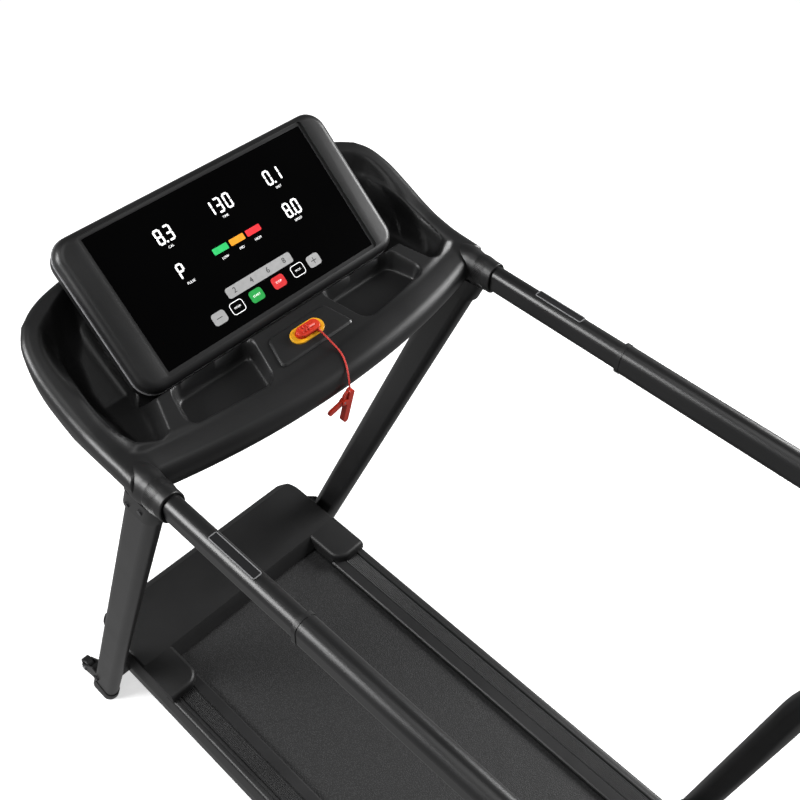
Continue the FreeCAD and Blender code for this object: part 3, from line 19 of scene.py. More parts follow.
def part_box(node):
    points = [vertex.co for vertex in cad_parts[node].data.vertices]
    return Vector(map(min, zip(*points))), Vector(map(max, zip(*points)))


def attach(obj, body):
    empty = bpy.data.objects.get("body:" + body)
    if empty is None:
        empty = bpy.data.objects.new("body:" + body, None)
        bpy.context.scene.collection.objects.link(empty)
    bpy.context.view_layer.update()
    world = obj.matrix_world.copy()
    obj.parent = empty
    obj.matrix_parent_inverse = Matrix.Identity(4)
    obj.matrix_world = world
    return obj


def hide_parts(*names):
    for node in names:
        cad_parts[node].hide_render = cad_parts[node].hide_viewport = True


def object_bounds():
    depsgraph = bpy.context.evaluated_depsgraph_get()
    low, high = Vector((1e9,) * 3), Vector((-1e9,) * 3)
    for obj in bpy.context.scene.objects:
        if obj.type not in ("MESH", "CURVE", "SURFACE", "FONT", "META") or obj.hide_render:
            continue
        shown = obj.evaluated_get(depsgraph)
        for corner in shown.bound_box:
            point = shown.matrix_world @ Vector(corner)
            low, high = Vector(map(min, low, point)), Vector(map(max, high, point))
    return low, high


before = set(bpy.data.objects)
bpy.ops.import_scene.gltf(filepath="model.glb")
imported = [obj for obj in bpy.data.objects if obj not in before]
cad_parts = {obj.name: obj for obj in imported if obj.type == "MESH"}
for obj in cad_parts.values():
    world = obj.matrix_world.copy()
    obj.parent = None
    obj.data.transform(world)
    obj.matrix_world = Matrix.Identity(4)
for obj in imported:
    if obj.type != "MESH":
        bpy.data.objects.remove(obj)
CAD_BOX = [list(corner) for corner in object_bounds()]
MM = 0.001
print("CAD box in metres:", CAD_BOX)

# %% [markdown]
# Positions come from the CAD parts' own boxes. A few of them are used again and again: the height
# of the handrails, the line of the console's lip, and the two planes that the tubes stand in.

# %% Places that many pieces share
tub_low, tub_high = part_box("console_tub")
rail_low, rail_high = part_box("grip_rail_right")
upright_low, upright_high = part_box("upright_right")
LIP_Y = tub_low.y + 4 * MM
TUB_HALF = tub_high.x
RAIL_Z = (rail_low.z + rail_high.z) / 2
TUBE_X = (upright_low.x + upright_high.x) / 2
print("lip", round(LIP_Y, 4), "rails", round(RAIL_Z, 4), "tubes", round(TUBE_X, 4))


# %% [markdown]
# ## Helpers for modelling
# An operator works on whatever is selected, and the CAD parts arrive selected. So each new piece
# starts by clearing the selection. In edit mode the faces or edges to work on are picked by a rule,
# such as "edges on the upper rim", which still holds when a size changes.

# %% Selection helpers
print("selected on arrival:", len(bpy.context.selected_objects))


def clear_selection():
    if bpy.context.object and bpy.context.object.mode != "OBJECT":
        bpy.ops.object.mode_set(mode="OBJECT")
    bpy.ops.object.select_all(action="DESELECT")


def make_active(piece):
    clear_selection()
    bpy.context.view_layer.objects.active = piece
    piece.select_set(True)


def points_of(piece):
    """The places of a mesh's points, one row of x, y and z for each."""
    places = np.empty(len(piece.data.vertices) * 3)
    piece.data.vertices.foreach_get("co", places)
    return places.reshape(-1, 3)


def move_points(piece, *columns):
    """Put a mesh's points at new places, given as rows or as separate x, y and z."""
    rows = columns[0] if len(columns) == 1 else np.stack(columns, axis=-1)
    piece.data.vertices.foreach_set("co", rows.ravel())
    piece.data.update()


# %% [markdown]
# Most edits begin by picking faces or edges. Faces are picked by their middles and normals, edges by
# their middles and the way that they run. Two rules come back often: the edges that stand upright,
# and the level edges above or below some height.

# %% Picking by a rule
def pick(piece, kind, rule):
    """Select the faces or edges that a rule allows, and go to edit mode with them."""
    bpy.ops.object.mode_set(mode="OBJECT")
    mesh = piece.data
    spots = points_of(piece)
    if kind == "FACE":
        middles, ways = np.empty(len(mesh.polygons) * 3), np.empty(len(mesh.polygons) * 3)
        mesh.polygons.foreach_get("center", middles)
        mesh.polygons.foreach_get("normal", ways)
        chosen = rule(middles.reshape(-1, 3), ways.reshape(-1, 3))
    else:
        ends = np.empty(len(mesh.edges) * 2, int)
        mesh.edges.foreach_get("vertices", ends)
        first, last = spots[ends[0::2]], spots[ends[1::2]]
        runs = last - first
        chosen = rule((first + last) / 2, runs / np.maximum(np.linalg.norm(runs, axis=1), 1e-9)[:, None])
    for items in (mesh.vertices, mesh.edges, mesh.polygons):
        items.foreach_set("select", np.zeros(len(items), bool))
    (mesh.polygons if kind == "FACE" else mesh.edges).foreach_set("select", np.asarray(chosen, bool))
    bpy.ops.object.mode_set(mode="EDIT")
    bpy.ops.mesh.select_mode(type=kind)


def upright(middles, ways):
    return np.abs(ways[:, 2]) > 0.9


def level(low=-math.inf, high=math.inf):
    """A rule for the level edges between two heights."""
    return lambda middles, ways: (middles[:, 2] > low) & (middles[:, 2] < high) & (np.abs(ways[:, 2]) < 0.5)


def round_edges(piece, rule, radius, segments):
    pick(piece, "EDGE", rule)
    bpy.ops.mesh.bevel(offset=radius, segments=segments)
    bpy.ops.object.mode_set(mode="OBJECT")


sample_ways = np.array([(0.0, 0.0, 1.0), (1.0, 0.0, 0.0)])
print("of an upright and a level edge, upright picks:", upright(sample_ways, sample_ways))


# %% [markdown]
# A modifier is applied as soon as it is added, so that the next step works on its result. Every
# finished piece then has its place put into its mesh, because its finish reads object coordinates.

# %% Finishing a piece
def add_modifier(piece, kind, **values):
    make_active(piece)
    modifier = piece.modifiers.new(kind.title(), kind)
    for name, value in values.items():
        setattr(modifier, name, value)
    bpy.ops.object.modifier_apply(modifier=modifier.name)


def settle(piece, name, angle=35.0):
    """Put a piece's place into its mesh, name it and shade it smooth up to an angle."""
    make_active(piece)
    bpy.ops.object.transform_apply(location=True, rotation=True, scale=True)
    piece.name = name
    piece.data.name = name
    bpy.ops.object.shade_smooth_by_angle(angle=math.radians(angle))
    piece.select_set(False)
    return piece


# %% [markdown]
# Many pieces start as a block between two corners and end as several blocks joined. A piece that is
# modelled lying flat is moved to its place by one matrix, which acts on the mesh and not on the object.

# %% Blocks, joins and moves
def add_block(low, high):
    clear_selection()
    low, high = Vector(low), Vector(high)
    bpy.ops.mesh.primitive_cube_add(size=1.0, location=(low + high) / 2)
    block = bpy.context.object
    block.scale = high - low
    bpy.ops.object.transform_apply(location=True, rotation=True, scale=True)
    return block


def joined(pieces):
    clear_selection()
    for piece in pieces:
        piece.select_set(True)
    bpy.context.view_layer.objects.active = pieces[0]
    bpy.ops.object.join()
    return bpy.context.object


def place_by(piece, matrix):
    """Move a piece's mesh, and leave its object at the origin."""
    piece.data.transform(matrix)
    piece.data.update()
    return piece


def merge_doubles(piece, threshold):
    """Join points that share a place. The piece stays in edit mode with all of it selected."""
    make_active(piece)
    bpy.ops.object.mode_set(mode="EDIT")
    bpy.ops.mesh.select_all(action="SELECT")
    bpy.ops.mesh.remove_doubles(threshold=threshold)


# %% [markdown]
# Some CAD parts have the right shape and only want softer edges. Their meshes are loose triangles
# and are never changed, so a copy is merged into whole faces first and then bevelled.

# %% Copies of CAD parts
print("points in the hood's loose triangles:", len(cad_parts["motor_hood"].data.vertices))


def copy_of_part(node, name, angle=30.0, bevel=0.0):
    """A CAD part's own shape with its triangles merged, so that it can be shaded and bevelled."""
    clear_selection()
    piece = bpy.data.objects.new(name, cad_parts[node].data.copy())
    bpy.context.scene.collection.objects.link(piece)
    piece.data.materials.clear()
    merge_doubles(piece, 0.01 * MM)
    bpy.ops.mesh.dissolve_limited(angle_limit=math.radians(0.5))
    bpy.ops.object.mode_set(mode="OBJECT")
    if bevel:
        add_modifier(piece, "BEVEL", width=bevel, segments=3, limit_method="ANGLE",
                     angle_limit=math.radians(50), harden_normals=False)
    return settle(piece, name, angle)


def dress(piece, material, body="frame", slot=None, *nodes):
    """Give a piece its finish, let it ride on a body and say which CAD parts it stands for."""
    piece.data.materials.clear()
    piece.data.materials.append(material)
    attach(piece, body)
    if nodes:
        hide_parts(*nodes)
    return piece


# %% [markdown]
# ## Finishes
# Every finish is worked out from the surface's own coordinates, never from a picture. Black
# plastic is not one flat black: its tone drifts a little, its grain breaks up the light, and its
# gloss is a little uneven. So one recipe takes a base colour, a second tone, a grain size and a
# grain height, and the finishes below differ in those numbers.

# %% Small helpers for nodes
def add_node(tree, kind, **inputs):
    """A shader node with its inputs set; an underscore in a name stands for a space."""
    node = tree.nodes.new("ShaderNode" + kind)
    for name, value in inputs.items():
        node.inputs[name.replace("_", " ")].default_value = value
    return node


def add_ramp(tree, first, second):
    """A colour ramp between two stops, each a position and a colour."""
    node = tree.nodes.new("ShaderNodeValToRGB")
    for stop, (position, colour) in zip(node.color_ramp.elements, (first, second)):
        stop.position = position
        stop.color = (*colour, 1.0)
    return node


print("materials from the CAD model:", len(bpy.data.materials))

# %% [markdown]
# A noise with large patches blends the two tones and sways the roughness round its middle value. A
# second noise, much finer, drives a bump: that is the grain.

# %% The recipe
GRAIN_RELIEF = 0.4 * MM
print("grain stands", GRAIN_RELIEF, "m proud at full strength")


def finish(name, tone, second, roughness, grain, height, patch=9.0, rough_swing=0.06, metal=0.0,
           coat=0.0, shine=0.5, stretch=(1.0, 1.0, 1.0)):
    """A surface with drifting tone, uneven gloss and a fine relief. grain is features per metre."""
    material = bpy.data.materials.new(name)
    material.use_nodes = True
    tree = material.node_tree
    link = tree.links.new
    shader = tree.nodes["Principled BSDF"]
    shader.inputs["Metallic"].default_value = metal
    shader.inputs["Coat Weight"].default_value = coat
    shader.inputs["Specular IOR Level"].default_value = shine
    place = add_node(tree, "TexCoord")
    mapping = add_node(tree, "Mapping", Scale=stretch)
    link(place.outputs["Object"], mapping.inputs["Vector"])
    drift = add_node(tree, "TexNoise", Scale=patch, Detail=4.0)
    link(mapping.outputs["Vector"], drift.inputs["Vector"])
    tones = add_ramp(tree, (0.3, tone), (0.7, second))
    link(drift.outputs["Fac"], tones.inputs["Fac"])
    link(tones.outputs["Color"], shader.inputs["Base Color"])
    gloss = add_node(tree, "MapRange", To_Min=roughness - rough_swing, To_Max=roughness + rough_swing)
    link(drift.outputs["Fac"], gloss.inputs["Value"])
    link(gloss.outputs["Result"], shader.inputs["Roughness"])
    pores = add_node(tree, "TexNoise", Scale=grain, Detail=3.0)
    link(mapping.outputs["Vector"], pores.inputs["Vector"])
    relief = add_node(tree, "Bump", Strength=height, Distance=GRAIN_RELIEF)
    link(pores.outputs["Fac"], relief.inputs["Height"])
    link(relief.outputs["Normal"], shader.inputs["Normal"])
    return material


def grey(value):
    return (value, value, value * 1.03)


# %% [markdown]
# Almost everything here is black, so the finishes are told apart by their gloss and grain. The hood
# and the rails are duller than the painted tubes, and the glass is the darkest and smoothest of all.

# %% The finishes of this machine
satin_plastic = finish("satin_plastic", grey(0.010), grey(0.014), 0.40, 1400, 0.10)
shell_plastic = finish("shell_plastic", grey(0.009), grey(0.013), 0.40, 1100, 0.14)
dark_shell = finish("dark_shell", grey(0.006), grey(0.008), 0.36, 1200, 0.08)
hood_plastic = finish("hood_plastic", grey(0.007), grey(0.010), 0.52, 900, 0.16)
rail_plastic = finish("rail_plastic", grey(0.012), grey(0.017), 0.46, 1000, 0.12)
frame_paint = finish("frame_paint", grey(0.010), grey(0.013), 0.34, 650, 0.10)
hidden_steel = finish("hidden_steel", (0.42, 0.42, 0.44), (0.5, 0.5, 0.52), 0.35, 400, 0.2, metal=1.0,
                      stretch=(1.0, 6.0, 1.0))
dark_steel = finish("dark_steel", (0.10, 0.10, 0.105), (0.14, 0.14, 0.145), 0.35, 700, 0.15, metal=0.9)
cast_metal = finish("cast_metal", grey(0.05), grey(0.07), 0.55, 500, 0.5)
sensor_metal = finish("sensor_metal", (0.045, 0.045, 0.048), (0.06, 0.06, 0.063), 0.30, 500, 0.06,
                      metal=0.7, stretch=(1.0, 0.05, 1.0))
soft_rubber = finish("soft_rubber", grey(0.014), grey(0.020), 0.72, 800, 0.3)
glass_gloss = finish("glass_gloss", (0.0006, 0.0006, 0.0007), (0.0009, 0.0009, 0.001), 0.12, 300, 0.0,
                     rough_swing=0.03, shine=0.12)
# The board's near-black tone is painted shade: it shows only in the narrow gap beside the belt, which lies in
# shade.
board_laminate_gap_shade = finish("board_laminate_gap_shade", grey(0.010), grey(0.018), 0.45, 260, 0.3, stretch=(8.0, 1.0, 8.0))
# Pale grey: on the display's bead it is a painted highlight line, on the pulse plates the trim's own colour.
bead_highlight_and_plate_trim = finish("bead_highlight_and_plate_trim", grey(0.22), grey(0.28), 0.28, 900, 0.05, patch=30)
board_green = finish("board_green", (0.01, 0.09, 0.03), (0.015, 0.12, 0.045), 0.4, 900, 0.1)
socket_yellow = finish("socket_yellow", (0.90, 0.42, 0.012), (0.95, 0.50, 0.02), 0.33, 1200, 0.06, patch=60)
key_red = finish("key_red", (0.62, 0.030, 0.012), (0.72, 0.045, 0.018), 0.34, 1300, 0.08, patch=50)
button_red = finish("button_red", (0.45, 0.02, 0.02), (0.5, 0.03, 0.02), 0.4, 1300, 0.08, patch=50)
print("finishes so far:", len(bpy.data.materials))


# %% [markdown]
# The running belt is woven cloth under a rubber skin with a pebbled face. Under studio light it
# shows as fine pale specks on dark grey. A cell pattern makes the pebbles: the tops of the cells are
# painted paler than the gaps, a painted highlight where the light catches each pebble, and a bump
# that follows the same cells makes them stand up.

# %% The belt's pebbled skin
PEBBLE_RELIEF = 0.8 * MM


def pebbled(name, dark, pale, cells, height):
    material = finish(name, dark, pale, 0.62, 1500, 0.2, patch=14)
    tree = material.node_tree
    link = tree.links.new
    shader = tree.nodes["Principled BSDF"]
    place = add_node(tree, "TexCoord")
    pebbles = add_node(tree, "TexVoronoi", Scale=cells)
    link(place.outputs["Object"], pebbles.inputs["Vector"])
    # The pale stop on each cell's top is a painted highlight on the pebble.
    pebble_top_highlight = add_ramp(tree, (0.05, pale), (0.45, dark))
    link(pebbles.outputs["Distance"], pebble_top_highlight.inputs["Fac"])
    link(pebble_top_highlight.outputs["Color"], shader.inputs["Base Color"])
    relief = add_node(tree, "Bump", Strength=height, Distance=PEBBLE_RELIEF)
    relief.invert = True
    link(pebbles.outputs["Distance"], relief.inputs["Height"])
    link(relief.outputs["Normal"], shader.inputs["Normal"])
    return material


PEBBLES_PER_METRE = 420.0
belt_skin = pebbled("belt_skin", grey(0.011), grey(0.055), PEBBLES_PER_METRE, 0.8)
print("one pebble is about", round(1000 / PEBBLES_PER_METRE, 1), "mm wide")


# %% [markdown]
# A lit segment or bar gives light of its own. The glass in front of it keeps it from being one flat
# white, so the same drifting tone that colours it also sways its glow.

# %% Lit colours
def lit(name, colour, dim, strength):
    material = finish(name, colour, dim, 0.35, 900, 0.02, patch=160)
    nodes = material.node_tree.nodes
    shader = nodes["Principled BSDF"]
    tones = next(node for node in nodes if node.type == "VALTORGB")
    material.node_tree.links.new(tones.outputs["Color"], shader.inputs["Emission Color"])
    shader.inputs["Emission Strength"].default_value = strength
    return material


lit_white = lit("lit_white", (0.95, 0.95, 0.95), (0.85, 0.85, 0.85), 0.9)
lit_green = lit("lit_green", (0.02, 0.50, 0.12), (0.03, 0.56, 0.15), 0.45)
lit_amber = lit("lit_amber", (0.82, 0.30, 0.01), (0.88, 0.35, 0.015), 0.45)
lit_red = lit("lit_red", (0.78, 0.02, 0.03), (0.84, 0.03, 0.04), 0.45)
pad_grey = lit("pad_grey", (0.42, 0.42, 0.42), (0.47, 0.47, 0.47), 0.12)
pad_green = lit("pad_green", (0.01, 0.33, 0.05), (0.015, 0.40, 0.07), 0.25)
pad_red = lit("pad_red", (0.65, 0.015, 0.02), (0.72, 0.03, 0.03), 0.3)
print_black = finish("print_black", grey(0.01), grey(0.02), 0.5, 900, 0.02)
print("lit and printed colours make", len(bpy.data.materials), "finishes so far")

# %% [markdown]
# The cord is braided. Two sets of slanting strands cross on its surface, and the curve's own
# coordinates follow it round every bend, so the braid does too. The strands are one red; the darker
# red on every other cell is painted shade where the weave dips.

# %% The braid
def braided(name, colour, shade):
    material = finish(name, colour, shade, 0.62, 2500, 0.3, patch=120)
    tree = material.node_tree
    place = add_node(tree, "TexCoord")
    turn = add_node(tree, "Mapping", Scale=(90.0, 3.0, 1.0), Rotation=(0.0, 0.0, math.radians(18)))
    tree.links.new(place.outputs["UV"], turn.inputs["Vector"])
    # The second, darker red on every other cell is painted shade in the weave.
    strands = add_node(tree, "TexChecker", Scale=2.0, Color1=(*colour, 1.0), Color2=(*shade, 1.0))
    tree.links.new(turn.outputs["Vector"], strands.inputs["Vector"])
    tree.links.new(strands.outputs["Color"], tree.nodes["Principled BSDF"].inputs["Base Color"])
    return material


cord_braid = braided("cord_braid", (0.70, 0.035, 0.02), (0.45, 0.015, 0.01))
print("braid nodes:", len(cord_braid.node_tree.nodes))

# %% [markdown]
# ## Camera, light and floor
# The camera looks down from above the walker's left shoulder. Only the camera sees the world as
# white. To the surfaces it is dim, and a little brighter below than above, as a pale floor would be.
# A tall soft lamp in front on the left draws the long highlights along the tubes, one on the right
# lights the display's side, and a weaker one overhead opens the shadows. The floor is hidden from
# reflections and bounced light, so the dark paint stays dark.

# %% Camera
EYE = (-0.756, -0.625, 2.275)
SIGHT_LINE = (0.5016, 0.4532, -0.7369)
PICTURE_RIGHT = (0.6889, -0.7238, 0.0364)
LENS = 48.45


def look(location, towards, right, lens):
    data = bpy.data.cameras.new("camera")
    data.lens = lens
    data.sensor_width = 36.0
    data.clip_start = 0.05
    data.clip_end = 60.0
    camera = bpy.data.objects.new("camera", data)
    bpy.context.scene.collection.objects.link(camera)
    ahead = Vector(towards).normalized()
    up = Vector(right).normalized().cross(ahead).normalized()
    right = ahead.cross(up).normalized()
    camera.matrix_world = Matrix.Translation(location) @ Matrix((right, up, -ahead)).transposed().to_4x4()
    bpy.context.scene.camera = camera


look(EYE, SIGHT_LINE, PICTURE_RIGHT, LENS)
print("camera at", EYE, "lens", LENS)


# %% [markdown]
# A lamp is a rectangle that faces a point on the machine. A long narrow lamp gives a long narrow
# highlight, and a square one a broad sheen.

# %% Light
def lamp(name, location, towards, size, power):
    data = bpy.data.lights.new(name, "AREA")
    data.shape = "RECTANGLE"
    data.size, data.size_y = size
    data.energy = power
    light = bpy.data.objects.new(name, data)
    bpy.context.scene.collection.objects.link(light)
    light.location = location
    light.rotation_euler = (Vector(towards) - Vector(location)).to_track_quat("-Z", "Y").to_euler()


lamp("front_softbox", (-2.6, 1.6, 2.4), (0.0, 0.0, 1.0), (1.1, 1.7), 112)
lamp("side_softbox", (3.0, -0.7, 2.1), (0.0, 0.2, 1.1), (1.6, 1.6), 150)
lamp("overhead_fill", (-0.8, -0.2, 3.9), (0.0, 0.1, 0.8), (1.8, 1.8), 20)
print("lamps:", len(bpy.data.lights))

# %% [markdown]
# The world's background asks which kind of ray has reached it. A ray from the camera finds plain
# white, and any other ray finds a dim glow that depends on how steeply it points up or down.

# %% The white room
GLOW_BELOW = 0.30
GLOW_ABOVE = 0.11
HORIZON_BLEND = 0.3
world = bpy.data.worlds.new("white_room")
bpy.context.scene.world = world
world.use_nodes = True
room = world.node_tree
backdrop = room.nodes["Background"]
backdrop.inputs["Color"].default_value = (1.0, 1.0, 1.0, 1.0)
heading = add_node(room, "TexCoord")
height_of_ray = add_node(room, "SeparateXYZ")
room.links.new(heading.outputs["Generated"], height_of_ray.inputs["Vector"])
glow = add_node(room, "MapRange", From_Min=-HORIZON_BLEND, From_Max=HORIZON_BLEND, To_Min=GLOW_BELOW,
                To_Max=GLOW_ABOVE)
room.links.new(height_of_ray.outputs["Z"], glow.inputs["Value"])
sight = add_node(room, "LightPath")
strength = add_node(room, "MapRange", To_Max=1.0)
room.links.new(sight.outputs["Is Camera Ray"], strength.inputs["Value"])
room.links.new(glow.outputs["Result"], strength.inputs["To Min"])
room.links.new(strength.outputs["Result"], backdrop.inputs["Strength"])
bpy.context.scene.view_settings.view_transform = "Standard"
print("world glow from", GLOW_BELOW, "below to", GLOW_ABOVE, "above")

# %% [markdown]
# The floor is one large plane with a pale finish and a glow of its own, so that it fades into the
# white room but still takes the soft shadow round the feet.

# %% Floor
clear_selection()
bpy.ops.mesh.primitive_plane_add(size=14.0, location=(0.0, 0.0, CAD_BOX[0][2]))
floor = bpy.context.object
floor.name = "floor"
pale_floor = finish("pale_floor", (0.90, 0.90, 0.90), (0.93, 0.93, 0.93), 0.7, 60, 0.0, patch=1.5)
floor_shader = pale_floor.node_tree.nodes["Principled BSDF"]
floor_shader.inputs["Emission Color"].default_value = (1.0, 1.0, 1.0, 1.0)
floor_shader.inputs["Emission Strength"].default_value = 0.62
floor.data.materials.append(pale_floor)
floor.visible_diffuse = False
floor.visible_glossy = False
print("floor at height", CAD_BOX[0][2])

# %% [markdown]
# ## The safety cord
# A limp braided cord runs from the lug of the red key over the console's lip to its clip. It keeps
# the points of its route, and the smooth curve is drawn by a spline whose control points they are.

# %% The cord
CORD_START = Vector((12 * MM, LIP_Y + 74.5 * MM, RAIL_Z + 42.46 * MM))
CORD_STEPS = [(0, 0, 0), (0.5, -11.5, -3.5), (2, -26.5, -11), (2, -42.5, -16), (-3.5, -57.5, -20),
              (-12, -71.5, -25), (-19, -81.5, -32), (-21.5, -85, -40.5), (-20.5, -85.5, -49)]
CORD_DIAMETER = 2.6 * MM


def safety_cord():
    curve = bpy.data.curves.new("safety_cord_braid", "CURVE")
    curve.dimensions = "3D"
    curve.resolution_u = 10
    curve.bevel_depth = CORD_DIAMETER / 2
    curve.bevel_resolution = 4
    curve.use_fill_caps = True
    spline = curve.splines.new("NURBS")
    spline.points.add(len(CORD_STEPS) - 1)
    for point, step in zip(spline.points, CORD_STEPS):
        point.co = (*(CORD_START + Vector(step) * MM), 1.0)
    spline.order_u = 3
    spline.use_endpoint_u = True
    cord = bpy.data.objects.new("safety_cord_braid", curve)
    bpy.context.scene.collection.objects.link(cord)
    return cord


cord = safety_cord()
cord.data.materials.append(cord_braid)
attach(cord, "safety_key")
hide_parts("safety_cord")
print("cord points:", len(CORD_STEPS))

# %% [markdown]
# ## Finishes for the CAD parts
# Parts whose CAD shape is already right only need their finish. One table says which finish each
# gets, so none is forgotten.

# %% Finish the CAD parts
PART_FINISHES = {
    frame_paint: ["side_beam_left", "side_beam_right", "cross_tubes", "upright_left", "upright_right",
                  "handrail_left", "handrail_right", "grip_rail_left", "grip_rail_right", "upright_brackets",
                  "leg_brackets", "wheel_brackets", "motor_mount", "console_crossbar"],
    shell_plastic: ["console_tub", "display_bezel", "rear_end_cap_left", "rear_end_cap_right"],
    satin_plastic: ["console_cover", "foot_caps", "joint_rings", "belly_pan", "power_inlet", "power_switch",
                    "transport_wheel_left", "transport_wheel_right"],
    dark_shell: ["display_back_shell"],
    hood_plastic: ["motor_hood"],
    rail_plastic: ["foot_rail_left", "foot_rail_right"],
    belt_skin: ["running_belt"],
    soft_rubber: ["rear_foot_pads", "deck_cushions", "drive_belt"],
    board_laminate_gap_shade: ["running_board"],
    hidden_steel: ["front_roller", "rear_roller", "roller_axles", "front_roller_bearings",
                   "rear_roller_bearings", "wheel_axles", "motor_armature", "motor_pulley", "clip_pin"],
    dark_steel: ["frame_bolts", "console_screws", "tension_bolts"],
    cast_metal: ["motor_flywheel", "motor_housing"],
    sensor_metal: ["pulse_plates"],
    glass_gloss: ["display_glass"],
    board_green: ["display_board", "motor_controller"],
    socket_yellow: ["key_socket"],
    key_red: ["safety_key", "clip_body", "clip_jaw", "safety_cord"],
    button_red: ["reset_button"],
}
for material, names in PART_FINISHES.items():
    for name in names:
        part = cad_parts[name]
        part.data.materials.clear()
        part.data.materials.append(material)
unfinished = set(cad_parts) - {name for names in PART_FINISHES.values() for name in names}
print("CAD parts without a finish:", sorted(unfinished))

# %% [markdown]
# ## The console's tub
# The tub is one moulding: a broad lip towards the walker, a fat rounded rim that climbs round both
# sides, a deep scoop on each side of the display, two trays with soft corners and a raised panel for
# the safety key. Cutting such hollows out of blocks leaves hard seams. A moulder's surface flows, so
# here a fine grid is stretched over the tub's plan and every point gets its height from a few smooth
# shapes: how far it is from the rim, and how deep it is inside a scoop or a tray.
#
# First the plan. Its outline is a bowed lip, two straight sides, two rounded corners and a bowed
# front edge. The grid's columns and rows follow that outline, so its edge is smooth.

# %% The tub's plan
LIP_BOW = 38 * MM
LIP_HALF = 302 * MM
SIDE_END = 225 * MM
CORNER_MID = (322 * MM, 320 * MM)
FRONT_END = (252 * MM, 351 * MM)
FRONT_Y = 376 * MM
ROLL = 15 * MM


def lip_line(x):
    """How far the lip's edge stands back at x, counted from the lip's line."""
    return -2 * MM + LIP_BOW * (x / LIP_HALF) ** 2


def curve_through(points, share):
    """Points on a smooth line through a few places, at shares of its length from 0 to 1."""
    points = np.array(points, float)
    tangents = np.gradient(points, axis=0)
    steps = np.linspace(0, len(points) - 1, 400)
    start = np.minimum(steps.astype(int), len(points) - 2)
    t = (steps - start)[:, None]
    a, b = points[start], points[start + 1]
    ta, tb = tangents[start], tangents[start + 1]
    line = (2 * t**3 - 3 * t**2 + 1) * a + (t**3 - 2 * t**2 + t) * ta
    line += (-2 * t**3 + 3 * t**2) * b + (t**3 - t**2) * tb
    run = np.concatenate([[0], np.cumsum(np.linalg.norm(np.diff(line, axis=0), axis=1))])
    return np.stack([np.interp(np.asarray(share) * run[-1], run, line[:, k]) for k in (0, 1)], axis=-1)


def plan_points(u, v):
    """Places on the tub's right half: u from the middle to the side, v from the lip to the front."""
    half = TUB_HALF
    lip = np.stack([half * u, lip_line(half * u)], axis=-1)
    side = curve_through([(half, lip_line(half)), (half, 110 * MM), (half + 1 * MM, 170 * MM),
                          (half + 1 * MM, SIDE_END), (half - 2 * MM, 262 * MM),
                          (half - 12 * MM, 295 * MM), CORNER_MID], v)
    front = curve_through([(0, FRONT_Y), (90 * MM, FRONT_Y - 3 * MM), (180 * MM, FRONT_Y - 12 * MM),
                           FRONT_END, (292 * MM, 338 * MM), CORNER_MID], u)
    middle = np.stack([0 * v, lip_line(0) + (FRONT_Y - lip_line(0)) * v], axis=-1)
    u, v = u[:, None], v[:, None]
    corners = (1 - u) * (1 - v) * np.array((0, lip_line(0))) + (1 - u) * v * np.array((0, FRONT_Y))
    corners = corners + u * (1 - v) * np.array((half, lip_line(half))) + u * v * np.array(CORNER_MID)
    return (1 - v) * lip + v * front + (1 - u) * middle + u * side - corners


print("tub", round(2 * TUB_HALF, 3), "wide and", round(FRONT_Y - lip_line(0), 3), "deep")


# %% [markdown]
# Next come the smooth shapes. `ease` turns a distance into a soft step without a crease at either
# end, and `inside` measures how far a point lies inside a polygon whose corners are rounded.

# %% Smooth steps and hollows
def ease(value):
    value = np.clip(value, 0.0, 1.0)
    return value * value * value * (value * (6 * value - 15) + 10)


def inside(x, y, corners, radius):
    """Distance inside a convex, anticlockwise polygon with rounded corners; negative outside."""
    gaps = []
    corners = np.array(corners, float)
    for a, b in zip(corners, np.roll(corners, -1, axis=0)):
        along = (b - a) / np.linalg.norm(b - a)
        gaps.append((x - a[0]) * -along[1] + (y - a[1]) * along[0])
    gaps = np.sort(np.stack(gaps), axis=0)
    near, next_near = radius - gaps[0], radius - gaps[1]
    rounded = np.where((near > 0) & (next_near > 0), np.hypot(near, next_near), near)
    return radius - rounded


TRAY = [(92 * MM, 53 * MM), (236 * MM, 70 * MM), (217 * MM, 140 * MM), (68 * MM, 140 * MM)]
SCOOP = [(252 * MM, 70 * MM), (304 * MM, 80 * MM), (322 * MM, 112 * MM), (319 * MM, 235 * MM),
         (300 * MM, 292 * MM), (256 * MM, 336 * MM), (216 * MM, 336 * MM), (216 * MM, 165 * MM),
         (240 * MM, 110 * MM)]
TRAY_FLOOR = 4 * MM
SCOOP_FLOOR = -3 * MM
TRAY_SLOPE = 0.19
TRAY_LIFT = 18 * MM
UNDERSIDE = -20 * MM
UNDERSIDE_BEND = 190 * MM
UNDERSIDE_SLOPE = 85.0 / 210.0
RIM_PLACES = [-20, 20, 60, 110, 150, 184, 225, 267, 305, 340, 372, 400]
RIM_HEIGHTS = [26, 27, 28, 30, 37, 49, 68, 89, 107, 118, 123, 125]
RIM_SMOOTH = 20


def side_profile(y):
    """Height of the rim over the rails, from the lip to the front."""
    every_mm = np.linspace(-20, 400, 421) * MM
    smooth = np.interp(every_mm, np.array(RIM_PLACES) * MM, np.array(RIM_HEIGHTS) * MM)
    window = np.hanning(2 * RIM_SMOOTH + 1)
    smooth = np.convolve(np.pad(smooth, RIM_SMOOTH, mode="edge"), window / window.sum(), mode="valid")
    return np.interp(y, every_mm, smooth)


def underside(y):
    return UNDERSIDE + np.maximum(0.0, y - UNDERSIDE_BEND) * UNDERSIDE_SLOPE


print("rim height at the front:", round(float(side_profile(FRONT_Y)), 4))


# %% [markdown]
# The display's shell lies in the tub like a book on a stand, so under it the tub has to stay below
# two planes: the shell's lower edge and its back. A clearance keeps the two apart.

